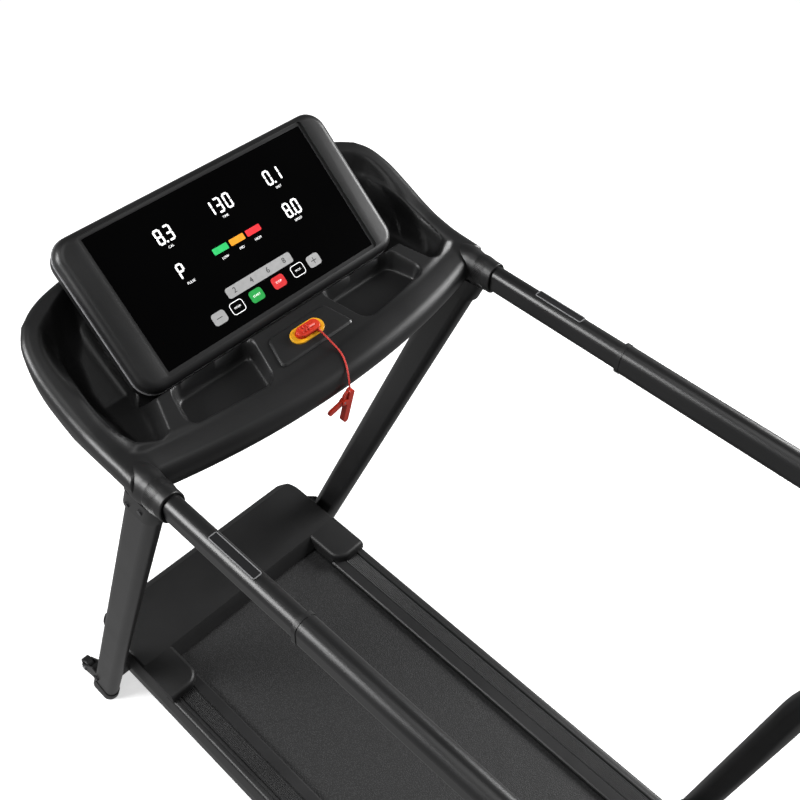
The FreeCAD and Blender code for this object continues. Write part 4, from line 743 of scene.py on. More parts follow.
# %% The tub's height at every point
POD_FRONT_FOOT = (140.4 * MM, 36.8 * MM)
POD_BACK_FOOT = (172.6 * MM, -1.5 * MM)
POD_SLOPE = math.tan(math.radians(40))
POD_CLEAR = 3.5 * MM
POD_HALF = 246 * MM
LEAST_WALL = 4 * MM
NO_LIMIT = 200 * MM


def under_display(x, y):
    """Highest that the tub may be under the display."""
    edge = POD_FRONT_FOOT[1] - (y - POD_FRONT_FOOT[0]) / POD_SLOPE
    back = POD_BACK_FOOT[1] + (y - POD_BACK_FOOT[0]) * POD_SLOPE
    limit = np.maximum(edge, back) - POD_CLEAR
    beside = ease((np.abs(x) - POD_HALF) / (12 * MM))
    return np.maximum(limit, underside(y) + LEAST_WALL) + beside * NO_LIMIT


print("highest under the display's foot:", np.round(under_display(0.0, POD_FRONT_FOOT[0]), 4))


# %% [markdown]
# The height is built up in layers, as a modeller lays clay: the apron behind the lip, the sloping
# deck, the rim round it, then the scoops and trays pressed in, and last the roll at the outline.

# %% The layers
APRON_LOW = 15 * MM
APRON_RISE = 12.5 * MM
APRON_DEPTH = 58 * MM
DECK_START = 38 * MM
DECK_BLEND = 16 * MM
RIM_WIDE = 24 * MM
SCOOP_ROUND = 26 * MM
SCOOP_CLIMB = 0.52
TRAY_ROUND = 19 * MM
TRAY_WALL = 13 * MM
WALL_OVERLAP = 3 * MM


def tub_height(x, y, edge_gap, rim_gap):
    """Height over the rails, given the distances from the outline and from the raised rim."""
    lip_gap = y - lip_line(x)
    tray = TRAY_LIFT + (y - 5 * MM) * TRAY_SLOPE
    rim = side_profile(y)
    apron = APRON_LOW + APRON_RISE * np.sin(np.clip(lip_gap / APRON_DEPTH, 0, 1) * math.pi / 2)
    deck = apron + (tray - apron) * ease((lip_gap - DECK_START) / DECK_BLEND)
    surface = deck + (rim - deck) * (1 - ease((rim_gap - RIM_WIDE) / RIM_WIDE))
    scoop_in = inside(np.abs(x), y, SCOOP, SCOOP_ROUND)
    floor = SCOOP_FLOOR + np.maximum(0, y - 205 * MM) * SCOOP_CLIMB
    bowl_side = 0.30 * ease(scoop_in / (14 * MM)) + 0.70 * ease((scoop_in + WALL_OVERLAP) / (40 * MM))
    surface = surface + (np.minimum(floor, surface) - surface) * bowl_side
    tray_in = inside(np.abs(x), y, TRAY, TRAY_ROUND)
    tray_side = ease((tray_in + WALL_OVERLAP) / TRAY_WALL)
    surface = surface + (TRAY_FLOOR + 0.06 * (y - 50 * MM) - surface) * tray_side
    roll = np.clip(edge_gap / ROLL, 0, 1)
    surface = surface - ROLL * (1 - np.sqrt(np.clip(1 - (1 - roll) ** 2, 0, 1)))
    return np.minimum(surface, under_display(x, y))


tray_middle = np.array([150 * MM]), np.array([100 * MM])
print("tray floor over the rails:", np.round(tub_height(*tray_middle, 1.0, 1.0), 4))


# %% [markdown]
# A steep wall that crosses the grid's columns at a slant comes out scalloped. So the columns are
# bent to run along the walls of the trays and scoops, and more of them are spent on those walls
# than on the flat floors between. The outermost rings of the grid are kept for the edge: they turn
# under the rim, so the moulding has the fat round side of the real one.

# %% Columns that follow the walls
TUB_COLUMNS = 300
TUB_ROWS = 196
EDGE_RINGS = 9
WALL_SHARES = [0.0, 0.15, 0.24, 0.50, 0.59, 0.66, 0.80, 0.90, 1.0]


def wall_lines(y):
    """Places along x, from the middle to the side, that the chosen columns run through."""
    tray_in = np.interp(y, [53 * MM, 140 * MM], [92 * MM, 67 * MM])
    tray_out = np.interp(y, [70 * MM, 140 * MM], [236 * MM, 217 * MM])
    scoop_in = np.full_like(y, 250 * MM)
    scoop_out = np.interp(y, [80 * MM, 112 * MM, 230 * MM, 286 * MM, 330 * MM],
                          [304 * MM, 320 * MM, 316 * MM, 296 * MM, 262 * MM])
    return [0 * y, tray_in - 12 * MM, tray_in + 8 * MM, tray_out - 10 * MM, tray_out + 6 * MM,
            scoop_in + 4 * MM, scoop_out - 30 * MM, scoop_out + 2 * MM]


def follow_walls(x, y, share, side):
    """Move each point along x so that the grid's columns follow the walls."""
    lines = wall_lines(y)
    lines.append(np.maximum(side, lines[-1] + 4 * MM))
    bent = np.zeros_like(x)
    for k in range(len(lines) - 1):
        low, high = WALL_SHARES[k], WALL_SHARES[k + 1]
        here = (share >= low) & (share <= high)
        blend = (share - low) / (high - low)
        bent = np.where(here, lines[k] + (lines[k + 1] - lines[k]) * blend, bent)
    return bent


print("grid of", TUB_COLUMNS, "by", TUB_ROWS, "with", EDGE_RINGS, "rings round its edge")


# %% [markdown]
# The rim follows the sides and the front, and the roll follows the whole outline. So each point
# needs its distance to that line, which is walked in short straight steps.

# %% Distance to the outline
OUTLINE_STEPS = 90


def outline_gap(x, y, with_lip=True):
    """Distance from every point to the tub's outline, or to its sides and front only."""
    steps = np.linspace(0, 1, OUTLINE_STEPS)
    zero, one = np.zeros(OUTLINE_STEPS), np.ones(OUTLINE_STEPS)
    lines = [plan_points(one, steps), plan_points(steps, one)[::-1]]
    edge = np.concatenate(([plan_points(steps, zero)] if with_lip else []) + lines)
    flat = np.stack([np.abs(x), y], axis=-1)
    gap = np.full(len(flat), 1.0)
    for a, b in zip(edge[:-1], edge[1:]):
        run = b - a
        if run @ run < 1e-12 or np.linalg.norm(run) > 0.05:
            continue
        t = np.clip((flat - a) @ run / (run @ run), 0, 1)
        gap = np.minimum(gap, np.linalg.norm(flat - a - t[:, None] * run, axis=1))
    return gap


print("tray middle to the outline:", np.round(outline_gap(*tray_middle), 4))


# %% [markdown]
# Now the grid is spread over the plan. Its middle part covers the tub, with more rows near the lip
# and the front. The outermost rings lie on the outline, ready to be turned under.

# %% Spread the grid
def edge_crowd(share, width):
    """Move evenly spaced shares so that a band at each end gets more than its part."""
    bent = 0.5 - 0.5 * np.cos(np.pi * share)
    return (1 - width) * share + width * bent


def spread(place):
    """Each grid point's x and y on the plan, and how far round the edge it is, from 0 to 1."""
    column = np.rint((place[:, 0] + 1) / 2 * TUB_COLUMNS)
    row = np.rint((place[:, 1] + 1) / 2 * TUB_ROWS)
    ring = np.minimum.reduce([column, TUB_COLUMNS - column, row, TUB_ROWS - row, 0 * row + EDGE_RINGS])
    across = np.clip((column - EDGE_RINGS) / (TUB_COLUMNS - 2 * EDGE_RINGS) * 2 - 1, -1, 1)
    share = np.abs(across)
    v = edge_crowd(np.clip((row - EDGE_RINGS) / (TUB_ROWS - 2 * EDGE_RINGS), 0, 1), 0.45)
    u = share + 0.30 * (np.sin(np.pi * share / 2) - share) * share
    spots = plan_points(u, v)
    side = plan_points(np.ones_like(u), v)[:, 0]
    free = ease((v - 0.05) / 0.08) * (1 - ease((v - 0.72) / 0.2))
    wall_x = follow_walls(spots[:, 0], spots[:, 1], share, side)
    flat_x = spots[:, 0] + (wall_x - spots[:, 0]) * free
    return np.sign(across) * flat_x, spots[:, 1], (EDGE_RINGS - ring) / EDGE_RINGS


print("right front corner at:", [np.round(part, 3) for part in spread(np.array([(1.0, 1.0, 0.0)]))])


# %% [markdown]
# The edge turns under along a quarter circle, towards the tub's middle. Solidify then gives the
# moulding a second skin. That skin is laid flat along the underside, and drawn in with the edge so
# that it never peeps out. Where the two skins meet, their points are merged and the shell is closed.

# %% The tub
EDGE_TUCK = 15 * MM
BOTTOM_BLEND = 60 * MM
SKIN_GAP = 0.3 * MM


def console_tub():
    clear_selection()
    bpy.ops.mesh.primitive_grid_add(x_subdivisions=TUB_COLUMNS, y_subdivisions=TUB_ROWS, size=2.0)
    tub = bpy.context.object
    count = len(tub.data.vertices)
    x, y, tuck = spread(points_of(tub))
    gap = outline_gap(x, y)
    z = tub_height(x, y, gap, outline_gap(x, y, with_lip=False))
    inward = np.stack([0.0 - x, (FRONT_Y + lip_line(0)) / 2 - y], axis=-1)
    inward /= np.linalg.norm(inward, axis=1)[:, None] + 1e-9
    low_step = EDGE_TUCK * np.clip(1 - gap / BOTTOM_BLEND, 0, 1)
    low_x, low_y = x + inward[:, 0] * low_step, y + inward[:, 1] * low_step
    step = EDGE_TUCK * (1 - np.cos(tuck * math.pi / 2))
    x, y = x + inward[:, 0] * step, y + inward[:, 1] * step
    z = z + (underside(y) - z) * np.sin(tuck * math.pi / 2) * (tuck > 0)
    move_points(tub, x, y + LIP_Y, z + RAIL_Z)
    add_modifier(tub, "SOLIDIFY", thickness=3 * MM, offset=-1)
    shell = points_of(tub)
    shell[count:] = np.stack([low_x, low_y + LIP_Y, underside(low_y) + RAIL_Z - SKIN_GAP], axis=-1)
    move_points(tub, shell)
    merge_doubles(tub, 0.02 * MM)
    pick(tub, "FACE", lambda middles, normals: (normals[:, 2] < -0.7) & (
        np.abs(middles[:, 2] - underside(middles[:, 1] - LIP_Y) - RAIL_Z) < 2 * SKIN_GAP))
    bpy.ops.mesh.dissolve_limited(angle_limit=math.radians(1.0))
    bpy.ops.object.mode_set(mode="OBJECT")
    return settle(tub, "console_tub_moulding", 60)


tub = dress(console_tub(), shell_plastic, "frame", "black_plastic", "console_tub")
print("tub faces:", len(tub.data.polygons))

# %% [markdown]
# The rails plug into two oval collars at the ends of the rim. Each starts as a cylinder that is
# squeezed to an oval, then its end is inset and pushed in to make the mouth, and its edges rounded.
# Its other end is extruded in short steps that swell and then taper, so that it melts into the rim.

# %% Collars round the rails
COLLAR_WIDE = 43 * MM
COLLAR_TALL = 57 * MM
COLLAR_Y = (-4 * MM, 26 * MM)
COLLAR_TAPER = [(8, 1.03), (8, 1.06), (8, 1.05), (10, 0.99), (12, 0.94), (14, 0.86), (14, 0.75)]


def collar(side):
    clear_selection()
    middle = LIP_Y + sum(COLLAR_Y) / 2
    bpy.ops.mesh.primitive_cylinder_add(vertices=72, radius=0.5, depth=COLLAR_Y[1] - COLLAR_Y[0],
                                        location=(side * TUBE_X, middle, RAIL_Z),
                                        rotation=(math.radians(90), 0, 0))
    sleeve = bpy.context.object
    sleeve.scale = (COLLAR_WIDE, COLLAR_TALL, 1.0)
    bpy.ops.object.transform_apply(location=True, rotation=True, scale=True)
    pick(sleeve, "FACE", lambda middles, normals: normals[:, 1] < -0.9)
    bpy.ops.mesh.inset(thickness=5.5 * MM)
    bpy.ops.mesh.extrude_region_move(TRANSFORM_OT_translate={"value": (0, 12 * MM, 0)})
    front = LIP_Y + COLLAR_Y[0]
    mouth = lambda middles, ways: (np.abs(middles[:, 1] - front) < 0.5 * MM) & (np.abs(ways[:, 1]) < 0.5)
    round_edges(sleeve, mouth, 2.2 * MM, 4)
    pick(sleeve, "FACE", lambda middles, normals: normals[:, 1] > 0.9)
    for reach, share in COLLAR_TAPER:
        bpy.ops.mesh.extrude_region_move(TRANSFORM_OT_translate={"value": (0, reach * MM, -0.4 * MM)})
        bpy.ops.transform.resize(value=(share, 1, share))
    bpy.ops.object.mode_set(mode="OBJECT")
    return sleeve


collars = settle(joined([collar(side) for side in (-1, 1)]), "rail_collars", 40)
dress(collars, shell_plastic, "frame", "black_plastic")
print("collars at", round(TUBE_X, 3), "either side")

# %% [markdown]
# The raised panel under the safety key is a low trapezoid with soft corners and a sloping edge.
# A cube gets its outline by moving its corners, its upright edges are rounded, and its top is
# inset and lifted a little, which leaves the slope round it.

# %% Raised panel
TRAY_TILT = math.atan(TRAY_SLOPE)
KEY_Y = LIP_Y + 89 * MM
KEY_Z = RAIL_Z + TRAY_LIFT + (84 * MM) * TRAY_SLOPE
KEY_PLANE = Matrix.Translation((0, KEY_Y, KEY_Z)) @ Matrix.Rotation(TRAY_TILT, 4, "X")


PANEL_HALF = 72 * MM
PANEL_FAR_HALF = 56 * MM


def raised_panel():
    panel = add_block((-PANEL_HALF, -27 * MM, -3 * MM), (PANEL_HALF, 26 * MM, 1.2 * MM))
    for vertex in panel.data.vertices:
        if vertex.co.y > 0:
            vertex.co.x *= PANEL_FAR_HALF / PANEL_HALF
    round_edges(panel, upright, 9 * MM, 6)
    pick(panel, "FACE", lambda middles, normals: normals[:, 2] > 0.9)
    bpy.ops.mesh.inset(thickness=3.2 * MM)
    bpy.ops.transform.translate(value=(0, 0, 2.4 * MM))
    round_edges(panel, level(low=3 * MM), 1.0 * MM, 3)
    return settle(place_by(panel, KEY_PLANE), "key_panel", 35)


dress(raised_panel(), satin_plastic, "frame", "black_plastic")
print("key panel stands at", round(KEY_Y, 3), round(KEY_Z, 3))

# %% [markdown]
# ## The display
# The display is a flat pod that leans back on the tub. Its front frame is wide and round at the
# sides, and a thin bead marks where the front meets the back shell. All of it is modelled lying
# flat, with its own up along the glass, and then put in its place by one matrix.

# %% The display's frame
DISPLAY_TILT = math.radians(40)
DISPLAY_FOOT = (0, LIP_Y + 155 * MM, RAIL_Z + 49 * MM)
DISPLAY = Matrix.Translation(DISPLAY_FOOT) @ Matrix.Rotation(DISPLAY_TILT, 4, "X")
GLASS_HALF = 202 * MM
GLASS_TALL = 217 * MM
GLASS_SLIP = 0.3 * MM
BEZEL_HALF = 249 * MM
BEZEL_LOW = -19 * MM
BEZEL_HIGH = 232 * MM
BEZEL_DEPTH = 20 * MM
BEZEL_FACE = 2.5 * MM
BEZEL_CORNER = 32 * MM


def rounded_slab(half, low, high, back, front, corner, segments=10):
    slab = add_block((-half, low, back), (half, high, front))
    round_edges(slab, upright, corner, segments)
    return slab


def cut_away(piece, cutter):
    add_modifier(piece, "BOOLEAN", object=cutter, operation="DIFFERENCE", solver="EXACT")
    bpy.data.objects.remove(cutter)
    return piece


print("display's lower edge stands at", [round(v, 4) for v in DISPLAY_FOOT])


# %% [markdown]
# The frame starts as a slab with round corners. Its front edge gets a wide bevel and its back edge a
# narrow one, then the glass's recess and the window under it are cut away and the cut edges softened.

# %% Cut and place the frame
def display_frame():
    front = rounded_slab(BEZEL_HALF, BEZEL_LOW, BEZEL_HIGH, -BEZEL_DEPTH, BEZEL_FACE, BEZEL_CORNER)
    round_edges(front, level(low=BEZEL_FACE - 0.5 * MM), 13 * MM, 8)
    round_edges(front, level(high=0.5 * MM - BEZEL_DEPTH), 3 * MM, 3)
    recess = rounded_slab(GLASS_HALF + 6 * MM, -6 * MM, GLASS_TALL + 6 * MM, 0.0, 6 * MM, 5 * MM, 5)
    front = cut_away(front, recess)
    window = add_block((-GLASS_HALF - GLASS_SLIP, -GLASS_SLIP, -3.2 * MM),
                       (GLASS_HALF + GLASS_SLIP, GLASS_TALL + GLASS_SLIP, 6 * MM))
    front = cut_away(front, window)
    add_modifier(front, "BEVEL", width=0.7 * MM, segments=3, limit_method="ANGLE",
                 angle_limit=math.radians(60))
    return settle(place_by(front, DISPLAY), "display_frame", 35)


dress(display_frame(), shell_plastic, "frame", "bezel_plastic", "display_bezel")
print("display frame", round(2 * BEZEL_HALF, 3), "by", round(BEZEL_HIGH - BEZEL_LOW, 3))


# %% [markdown]
# The bead stands a little prouder than the frame, and its pale grey is a painted highlight, so it
# shows as one thin bright line. The back shell behind it keeps the CAD part's shape and only has its
# triangles merged.

# %% Bead and back shell
BEAD_OUT = 1.6 * MM


def parting_bead():
    bead = rounded_slab(BEZEL_HALF + BEAD_OUT, BEZEL_LOW - BEAD_OUT, BEZEL_HIGH + BEAD_OUT,
                        -BEZEL_DEPTH - BEAD_OUT, -BEZEL_DEPTH + 1.2 * MM, BEZEL_CORNER + BEAD_OUT)
    round_edges(bead, level(), 1.0 * MM, 3)
    return settle(place_by(bead, DISPLAY), "display_parting_bead", 35)


# The bead's pale grey is a painted highlight along the parting line.
dress(parting_bead(), bead_highlight_and_plate_trim, "frame", "bezel_plastic")
back_shell = copy_of_part("display_back_shell", "display_back", 35)
dress(back_shell, dark_shell, "frame", "black_plastic", "display_back_shell")
print("display leans back", round(math.degrees(DISPLAY_TILT)), "degrees")

# %% [markdown]
# Behind the glass, each number is made of seven lit segments with pointed ends. One segment is
# modelled once from a six-sided disc that is stretched, and a digit is up to seven copies of it.

# %% Seven-segment digits
SEGMENTS = {"0": "abcdef", "1": "bc", "3": "abgcd", "8": "abcdefg", "P": "abefg"}
DIGIT_HIGH = 25 * MM
DIGIT_WIDE = 12.5 * MM
DIGIT_STEP = 17 * MM
SEGMENT_THICK = 3.5 * MM
SEGMENT_GAP = 0.5 * MM


def segment(x, y, length, standing):
    clear_selection()
    bpy.ops.mesh.primitive_circle_add(vertices=6, radius=SEGMENT_THICK / 2, fill_type="NGON",
                                      rotation=(0, 0, math.radians(30)))
    bar = bpy.context.object
    bpy.ops.object.transform_apply(location=True, rotation=True, scale=True)
    stretch = (length - SEGMENT_THICK) / 2
    for vertex in bar.data.vertices:
        vertex.co.x += math.copysign(stretch, vertex.co.x)
    if standing:
        bar.data.transform(Matrix.Rotation(math.radians(90), 4, "Z"))
    bar.data.transform(Matrix.Translation((x, y, 0)))
    return bar


def digit(letter, x, y):
    half_w, half_h = (DIGIT_WIDE - SEGMENT_THICK) / 2, (DIGIT_HIGH - SEGMENT_THICK) / 4
    places = {"a": (0, 2 * half_h, False), "g": (0, 0, False), "d": (0, -2 * half_h, False),
              "f": (-half_w, half_h, True), "b": (half_w, half_h, True),
              "e": (-half_w, -half_h, True), "c": (half_w, -half_h, True)}
    bars = []
    for name in SEGMENTS[letter]:
        dx, dy, standing = places[name]
        length = (2 * half_h if standing else 2 * half_w) - SEGMENT_GAP
        bars.append(segment(x + dx, y + dy, length, standing))
    return bars


print("digits known:", " ".join(SEGMENTS))


# %% [markdown]
# A number is centred on its place. Its digits are joined into one piece, given the thickness of
# print and laid on the glass.

# %% Numbers on the glass
def number(text, x, y):
    """Digits centred on a place on the glass; a full stop sits between its neighbours."""
    digits = [c for c in text if c != "."]
    left = x - (len(digits) - 1) * DIGIT_STEP / 2
    bars = []
    index = 0
    for c in text:
        if c == ".":
            spot = left + (index - 0.5) * DIGIT_STEP
            bars.append(segment(spot, y - DIGIT_HIGH / 2 + SEGMENT_THICK / 2, SEGMENT_THICK * 1.02, False))
            continue
        bars += digit(c, left + index * DIGIT_STEP, y)
        index += 1
    return bars


PRINT_LIFT = 0.05 * MM
PRINT_THICK = 0.2 * MM


def on_glass(piece, name, thick=PRINT_THICK):
    """Give flat print a little thickness and lay it on the glass."""
    merge_doubles(piece, 0.001 * MM)
    bpy.ops.mesh.normals_make_consistent(inside=False)
    bpy.ops.object.mode_set(mode="OBJECT")
    add_modifier(piece, "SOLIDIFY", thickness=thick, offset=1)
    piece.data.transform(DISPLAY @ Matrix.Translation((0, 0, PRINT_LIFT)))
    return settle(piece, name, 30)


READINGS = [("8.3", -93, 169), ("130", 8, 169), ("0.1", 113, 169), ("P", -101, 112), ("8.0", 112, 112)]
bars = []
for text, x, y in READINGS:
    bars += number(text, x * MM, y * MM)
dress(on_glass(joined(bars), "display_digits"), lit_white)
print("segments:", len(READINGS), "readings")


# %% [markdown]
# Below the readings are three lit bars, a strip of speed numbers and a row of touch keys. They are
# printed flat on the glass, so each is a thin plate with rounded corners.

# %% Touch keys and bars
def plate(x, y, wide, tall, corner):
    pad = add_block((x - wide / 2, y - tall / 2, 0), (x + wide / 2, y + tall / 2, PRINT_THICK))
    round_edges(pad, upright, corner, 5)
    return pad


def lay(pieces, name, material, lift=PRINT_LIFT):
    piece = joined(pieces)
    piece.data.transform(DISPLAY @ Matrix.Translation((0, 0, lift)))
    return dress(settle(piece, name, 30), material)


BAR_ROW = 112 * MM
STRIP_ROW = 50 * MM
KEY_ROW = 27 * MM
BAR_XS = (-29, 2.5, 34)
SPEED_XS = (-91, 95)
MODE_XS = (-57, 62.5)
START_X, STOP_X = -20, 23.5
KEY_LINE = 1.0 * MM


def touch_keys(xs, inset=0.0):
    """Key plates at places along the key row; inset shrinks them evenly."""
    wide, tall = 24 * MM - 2 * inset, 19 * MM - 2 * inset
    return [plate(x * MM, KEY_ROW, wide, tall, 5 * MM - inset) for x in xs]


for name, material, x in zip(("bar_low", "bar_middle", "bar_high"), (lit_green, lit_amber, lit_red), BAR_XS):
    lay([plate(x * MM, BAR_ROW, 27 * MM, 10 * MM, 1.5 * MM)], name, material)
lay([plate(2 * MM, STRIP_ROW, 126 * MM, 17 * MM, 4 * MM)], "speed_strip", pad_grey)
lay(touch_keys(SPEED_XS), "speed_keys", pad_grey)
lay(touch_keys([START_X]), "start_key", pad_green)
lay(touch_keys([STOP_X]), "stop_key", pad_red)
lay(touch_keys(MODE_XS), "mode_key_outlines", lit_white)
lay(touch_keys(MODE_XS, KEY_LINE), "mode_key_faces", glass_gloss, 0.12 * MM)
print("keys:", len(SPEED_XS) + len(MODE_XS) + 2)

# %% [markdown]
# The small words under the readings and on the keys are plain and generic. A text object is turned
# into a mesh first, and then treated as the digits were.


# %% Small print
def words(text, x, y, size):
    clear_selection()
    bpy.ops.object.text_add(location=(x, y, 0))
    line = bpy.context.object
    line.data.body = text
    line.data.size = size
    line.data.align_x = line.data.align_y = "CENTER"
    bpy.ops.object.convert(target="MESH")
    bpy.ops.object.transform_apply(location=True, rotation=True, scale=True)
    return bpy.context.object


def print_words(lines, name, material, thick=PRINT_THICK):
    """Words at places on the glass, each a text, a place in millimetres and a size."""
    text = [words(body, x * MM, y, size * MM) for body, x, y, size in lines]
    return dress(on_glass(joined(text), name, thick), material)


LABELS = [("CAL", -93, 150), ("TIME", 8, 150), ("DIST", 113, 150), ("PULSE", -97, 92), ("SPEED", 112, 93),
          ("LOW", BAR_XS[0], 98), ("MID", BAR_XS[1], 98), ("HIGH", BAR_XS[2], 98)]
print_words([(text, x, y * MM, 5.2) for text, x, y in LABELS], "display_labels", lit_white)
print_words([(text, x, KEY_ROW, 4.2) for text, x in zip(("MODE", "PROG"), MODE_XS)], "mode_key_print",
            lit_white, 0.4 * MM)
print_words([(str(n), x, STRIP_ROW, 12) for n, x in ((2, -46), (4, -14), (6, 18), (8, 50))],
            "strip_numbers", print_black, 0.35 * MM)
print_words([("START", START_X, KEY_ROW, 4.6), ("STOP", STOP_X, KEY_ROW, 4.6)], "start_stop_print",
            lit_white, 0.35 * MM)


def stroke(x, half_wide, half_tall):
    return add_block((x - half_wide, KEY_ROW - half_tall, 0), (x + half_wide, KEY_ROW + half_tall, 0.1 * MM))


signs = [stroke(x * MM, 5 * MM, 0.6 * MM) for x in SPEED_XS] + [stroke(SPEED_XS[1] * MM, 0.6 * MM, 5 * MM)]
lay(signs, "plus_and_minus", print_black, 0.3 * MM)
print("display pieces made")

# %% [markdown]
# ## The console's lower cover
# A flat cover closes the tub from below, and two sleeves on it hold the tops of the uprights. It
# hides in the tub's shadow, so its edge is drawn well inside the tub's outline. The sleeves' fit is
# the CAD part's, so they are cut from a copy of it whose triangles are merged and shaded smooth.

# %% Lower cover
COVER_INSET = 0.93
COVER_MIDDLE = 190 * MM
COVER_THICK = 3 * MM
SLEEVE_CUT = 9 * MM


def cover_plate():
    clear_selection()
    bpy.ops.mesh.primitive_grid_add(x_subdivisions=60, y_subdivisions=30, size=2.0)
    sheet = bpy.context.object
    place = points_of(sheet)
    spots = plan_points(np.abs(place[:, 0]), (place[:, 1] + 1) / 2)
    x = np.sign(place[:, 0]) * spots[:, 0] * COVER_INSET
    y = COVER_MIDDLE + (spots[:, 1] - COVER_MIDDLE) * COVER_INSET
    move_points(sheet, x, y + LIP_Y, underside(y) + RAIL_Z - 2 * SKIN_GAP)
    add_modifier(sheet, "SOLIDIFY", thickness=COVER_THICK, offset=-1)
    return sheet


def sleeves():
    piece = copy_of_part("console_cover", "sleeves", 35)
    make_active(piece)
    bpy.ops.object.mode_set(mode="EDIT")
    bpy.ops.mesh.select_all(action="SELECT")
    cut = RAIL_Z + UNDERSIDE - SLEEVE_CUT
    bpy.ops.mesh.bisect(plane_co=(0, 0, cut), plane_no=(0, 0, 1), use_fill=True, clear_outer=True)
    pick(piece, "FACE", lambda middles, normals: (normals[:, 2] > 0.9) & (middles[:, 2] > cut - 0.1 * MM))
    bpy.ops.mesh.extrude_region_move(TRANSFORM_OT_translate={"value": (0, 0, SLEEVE_CUT)})
    bpy.ops.object.mode_set(mode="OBJECT")
    heights = points_of(piece)[:, 2]
    print("sleeves reach from", round(heights.min(), 4), "to", round(heights.max(), 4))
    return piece


cover = settle(joined([cover_plate(), sleeves()]), "console_lower_cover", 35)
dress(cover, satin_plastic, "frame", "black_plastic", "console_cover")

# %% [markdown]
# ## Foot rails
# The walker steps on these rails to get on and off, so they carry fine ribs. The rail is one
# extrusion with the same section all along: a round outer edge, one proud rib, a band of fine ribs
# and a smooth slope down to the belt. A long grid with many columns takes the section's shape, and
# Solidify gives it its wall.

# %% The section of a foot rail
foot_low, foot_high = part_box("foot_rail_right")
RIB_PITCH = 3.4 * MM
RIB_COUNT = 9
RIB_HIGH = 0.9 * MM
RIB_START = 28 * MM
GROOVE = 3 * MM
EDGE_ROUND = 7 * MM
RAIL_WALL = 2.2 * MM


def rail_section():
    """Points of the rail's outer line, from its inner edge to the bottom of its outer skirt."""
    top = foot_high.z
    inner, outer = foot_low.x, foot_high.x
    points = [(inner + 0.2 * MM, top - 9 * MM), (inner + 1.2 * MM, top - 5 * MM),
              (inner + 4 * MM, top - 3.2 * MM), (inner + 20 * MM, top - 1.6 * MM),
              (inner + 24 * MM, top - 1.4 * MM), (inner + 25 * MM, top - GROOVE),
              (inner + 27 * MM, top - GROOVE)]
    start = inner + RIB_START
    for rib in range(RIB_COUNT):
        left = start + rib * RIB_PITCH
        for share, height in ((0.0, 0.0), (0.25, 1.0), (0.6, 1.0), (0.85, 0.0)):
            points.append((left + share * RIB_PITCH, top - 1.6 * MM + height * RIB_HIGH))
    end = start + RIB_COUNT * RIB_PITCH
    points += [(end, top - GROOVE), (end + 2 * MM, top - GROOVE), (end + 3 * MM, top - 0.3 * MM),
               (end + 5 * MM, top), (end + 7 * MM, top - 0.3 * MM), (end + 8 * MM, top - 2 * MM)]
    for step in range(7):
        angle = math.radians(15 * step)
        points.append((outer - EDGE_ROUND + EDGE_ROUND * math.sin(angle),
                       top - 2 * MM - EDGE_ROUND + EDGE_ROUND * math.cos(angle)))
    points.append((outer, foot_low.z))
    return np.array(points)


print("points in the section:", len(rail_section()))

# %% [markdown]
# The grid has a column for each point of the section and only two rows, one at each end of the rail.
# For the left rail the columns are taken the other way round, so its faces point out as well.

# %% The foot rails
def foot_rail(side):
    section = rail_section()
    clear_selection()
    bpy.ops.mesh.primitive_grid_add(x_subdivisions=len(section) - 1, y_subdivisions=1, size=2.0)
    rail = bpy.context.object
    place = points_of(rail)
    column = np.rint((place[:, 0] + 1) / 2 * (len(section) - 1)).astype(int)
    if side < 0:
        column = len(section) - 1 - column
    y = np.where(place[:, 1] < 0, foot_low.y, foot_high.y)
    move_points(rail, side * section[column, 0], y, section[column, 1])
    add_modifier(rail, "SOLIDIFY", thickness=RAIL_WALL, offset=-1)
    return settle(rail, "foot_rail_ribbed_" + ("right" if side > 0 else "left"), 25)


for side, node in ((1, "foot_rail_right"), (-1, "foot_rail_left")):
    dress(foot_rail(side), rail_plastic, "frame", "black_plastic", node)
print("foot rails between", round(foot_low.x, 3), "and", round(foot_high.x, 3))

# %% [markdown]
# ## Pulse plates
# A bright metal line frames each pulse plate on the grips. It is a strip with round corners whose
# middle is removed, so it is a true ring.

# %% Pulse plate frames
plate_low, plate_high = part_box("pulse_plates")
PLATE_LINE = 1.3 * MM
PLATE_WIDE = 2 * (plate_high.x - TUBE_X) + 2 * PLATE_LINE
PLATE_LENGTH = plate_high.y - plate_low.y + 2 * PLATE_LINE


def pulse_frame(side):
    ring = add_block((-PLATE_WIDE / 2, 0, 0), (PLATE_WIDE / 2, PLATE_LENGTH, 1.2 * MM))
    round_edges(ring, upright, 3 * MM, 5)
    hole = add_block((-PLATE_WIDE / 2 + PLATE_LINE, PLATE_LINE, -1 * MM),
                     (PLATE_WIDE / 2 - PLATE_LINE, PLATE_LENGTH - PLATE_LINE, 3 * MM))
    ring = cut_away(ring, hole)
    ring.data.transform(Matrix.Translation((side * TUBE_X, plate_low.y - PLATE_LINE, plate_high.z - 0.6 * MM)))
    return ring


frames = settle(joined([pulse_frame(side) for side in (-1, 1)]), "pulse_plate_lines", 30)
dress(frames, bead_highlight_and_plate_trim, "frame", "sensor_plate")
print("pulse plates between", round(plate_low.y, 3), "and", round(plate_high.y, 3))

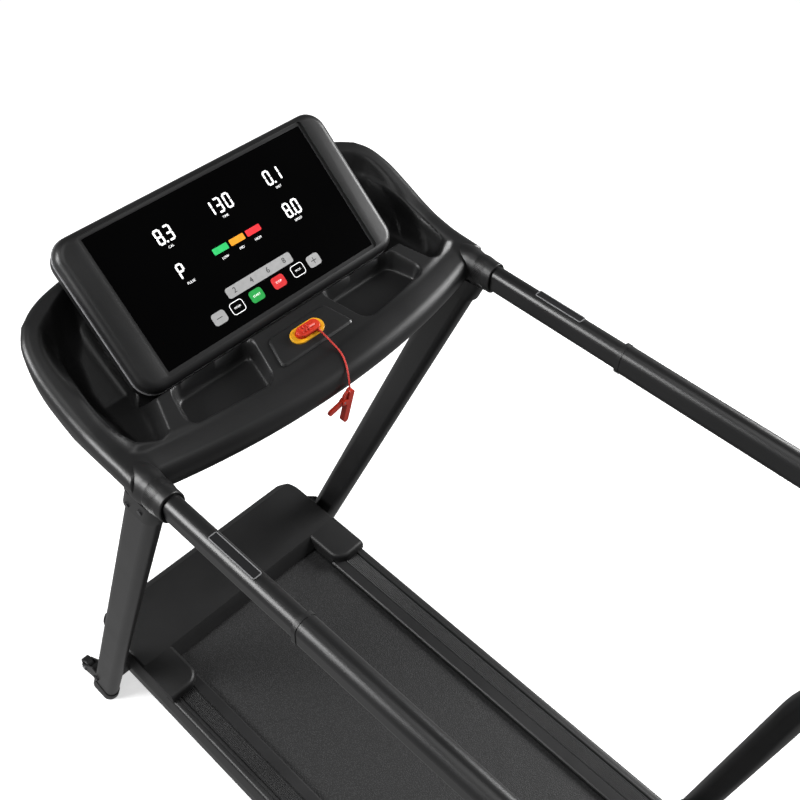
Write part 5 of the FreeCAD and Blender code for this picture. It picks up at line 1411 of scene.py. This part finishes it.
# %% [markdown]
# ## Safety key and socket
# The red key is a fat obround that covers most of its yellow socket, with three ribs to pinch. The
# lug for the cord stays the CAD part's. The socket is the CAD part's too, with the soft edges that a
# moulded part has, and the clip keeps its CAD shape as it is.

# %% Safety key
KEY_HALF = 21 * MM
KEY_HALF_WIDE = 9.5 * MM
KEY_RIBS = (-12, -6, 0)


def key_box(node):
    """A part's box in the frame of the panel that the key stands on."""
    back = KEY_PLANE.inverted()
    spots = [back @ vertex.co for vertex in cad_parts[node].data.vertices]
    return [min(s[k] for s in spots) for k in range(3)], [max(s[k] for s in spots) for k in range(3)]


def safety_key():
    low, high = key_box("safety_key")
    print("key from", [round(v, 4) for v in low], "to", [round(v, 4) for v in high])
    top = high[2]
    cap = rounded_slab(KEY_HALF, -KEY_HALF_WIDE, KEY_HALF_WIDE, top - 4.5 * MM, top - 0.8 * MM, 9.2 * MM, 8)
    round_edges(cap, level(low=top - 1 * MM), 1.6 * MM, 4)
    ribs = []
    for x in KEY_RIBS:
        rib = add_block(((x - 1) * MM, -6 * MM, top - 1.5 * MM), ((x + 1) * MM, 6 * MM, top + 0.8 * MM))
        add_modifier(rib, "BEVEL", width=0.6 * MM, segments=3, limit_method="ANGLE")
        ribs.append(rib)
    whole = place_by(joined([cap] + ribs), KEY_PLANE)
    return settle(joined([whole, copy_of_part("safety_key", "key_body", 35)]), "safety_key_moulded", 35)


dress(safety_key(), key_red, "safety_key", "red_plastic", "safety_key")
socket = copy_of_part("key_socket", "key_socket_moulded", 35, 0.8 * MM)
dress(socket, socket_yellow, "frame", "yellow_plastic", "key_socket")

# %% [markdown]
# ## Soft edges on the carried-over parts
# A moulded or folded part never has a knife edge, and a soft edge catches a line of light. These
# parts have the right shape already, so each is copied, merged and bevelled.

# %% Bevelled copies
SOFT_EDGES = [("rear_end_cap_left", shell_plastic, 2.0), ("rear_end_cap_right", shell_plastic, 2.0),
              ("foot_caps", satin_plastic, 1.2), ("motor_hood", hood_plastic, 1.2)]
for node, material, width in SOFT_EDGES:
    soft = copy_of_part(node, node + "_soft", 40, width * MM)
    dress(soft, material, "frame", "black_plastic", node)
    print(node, "faces", len(soft.data.polygons))
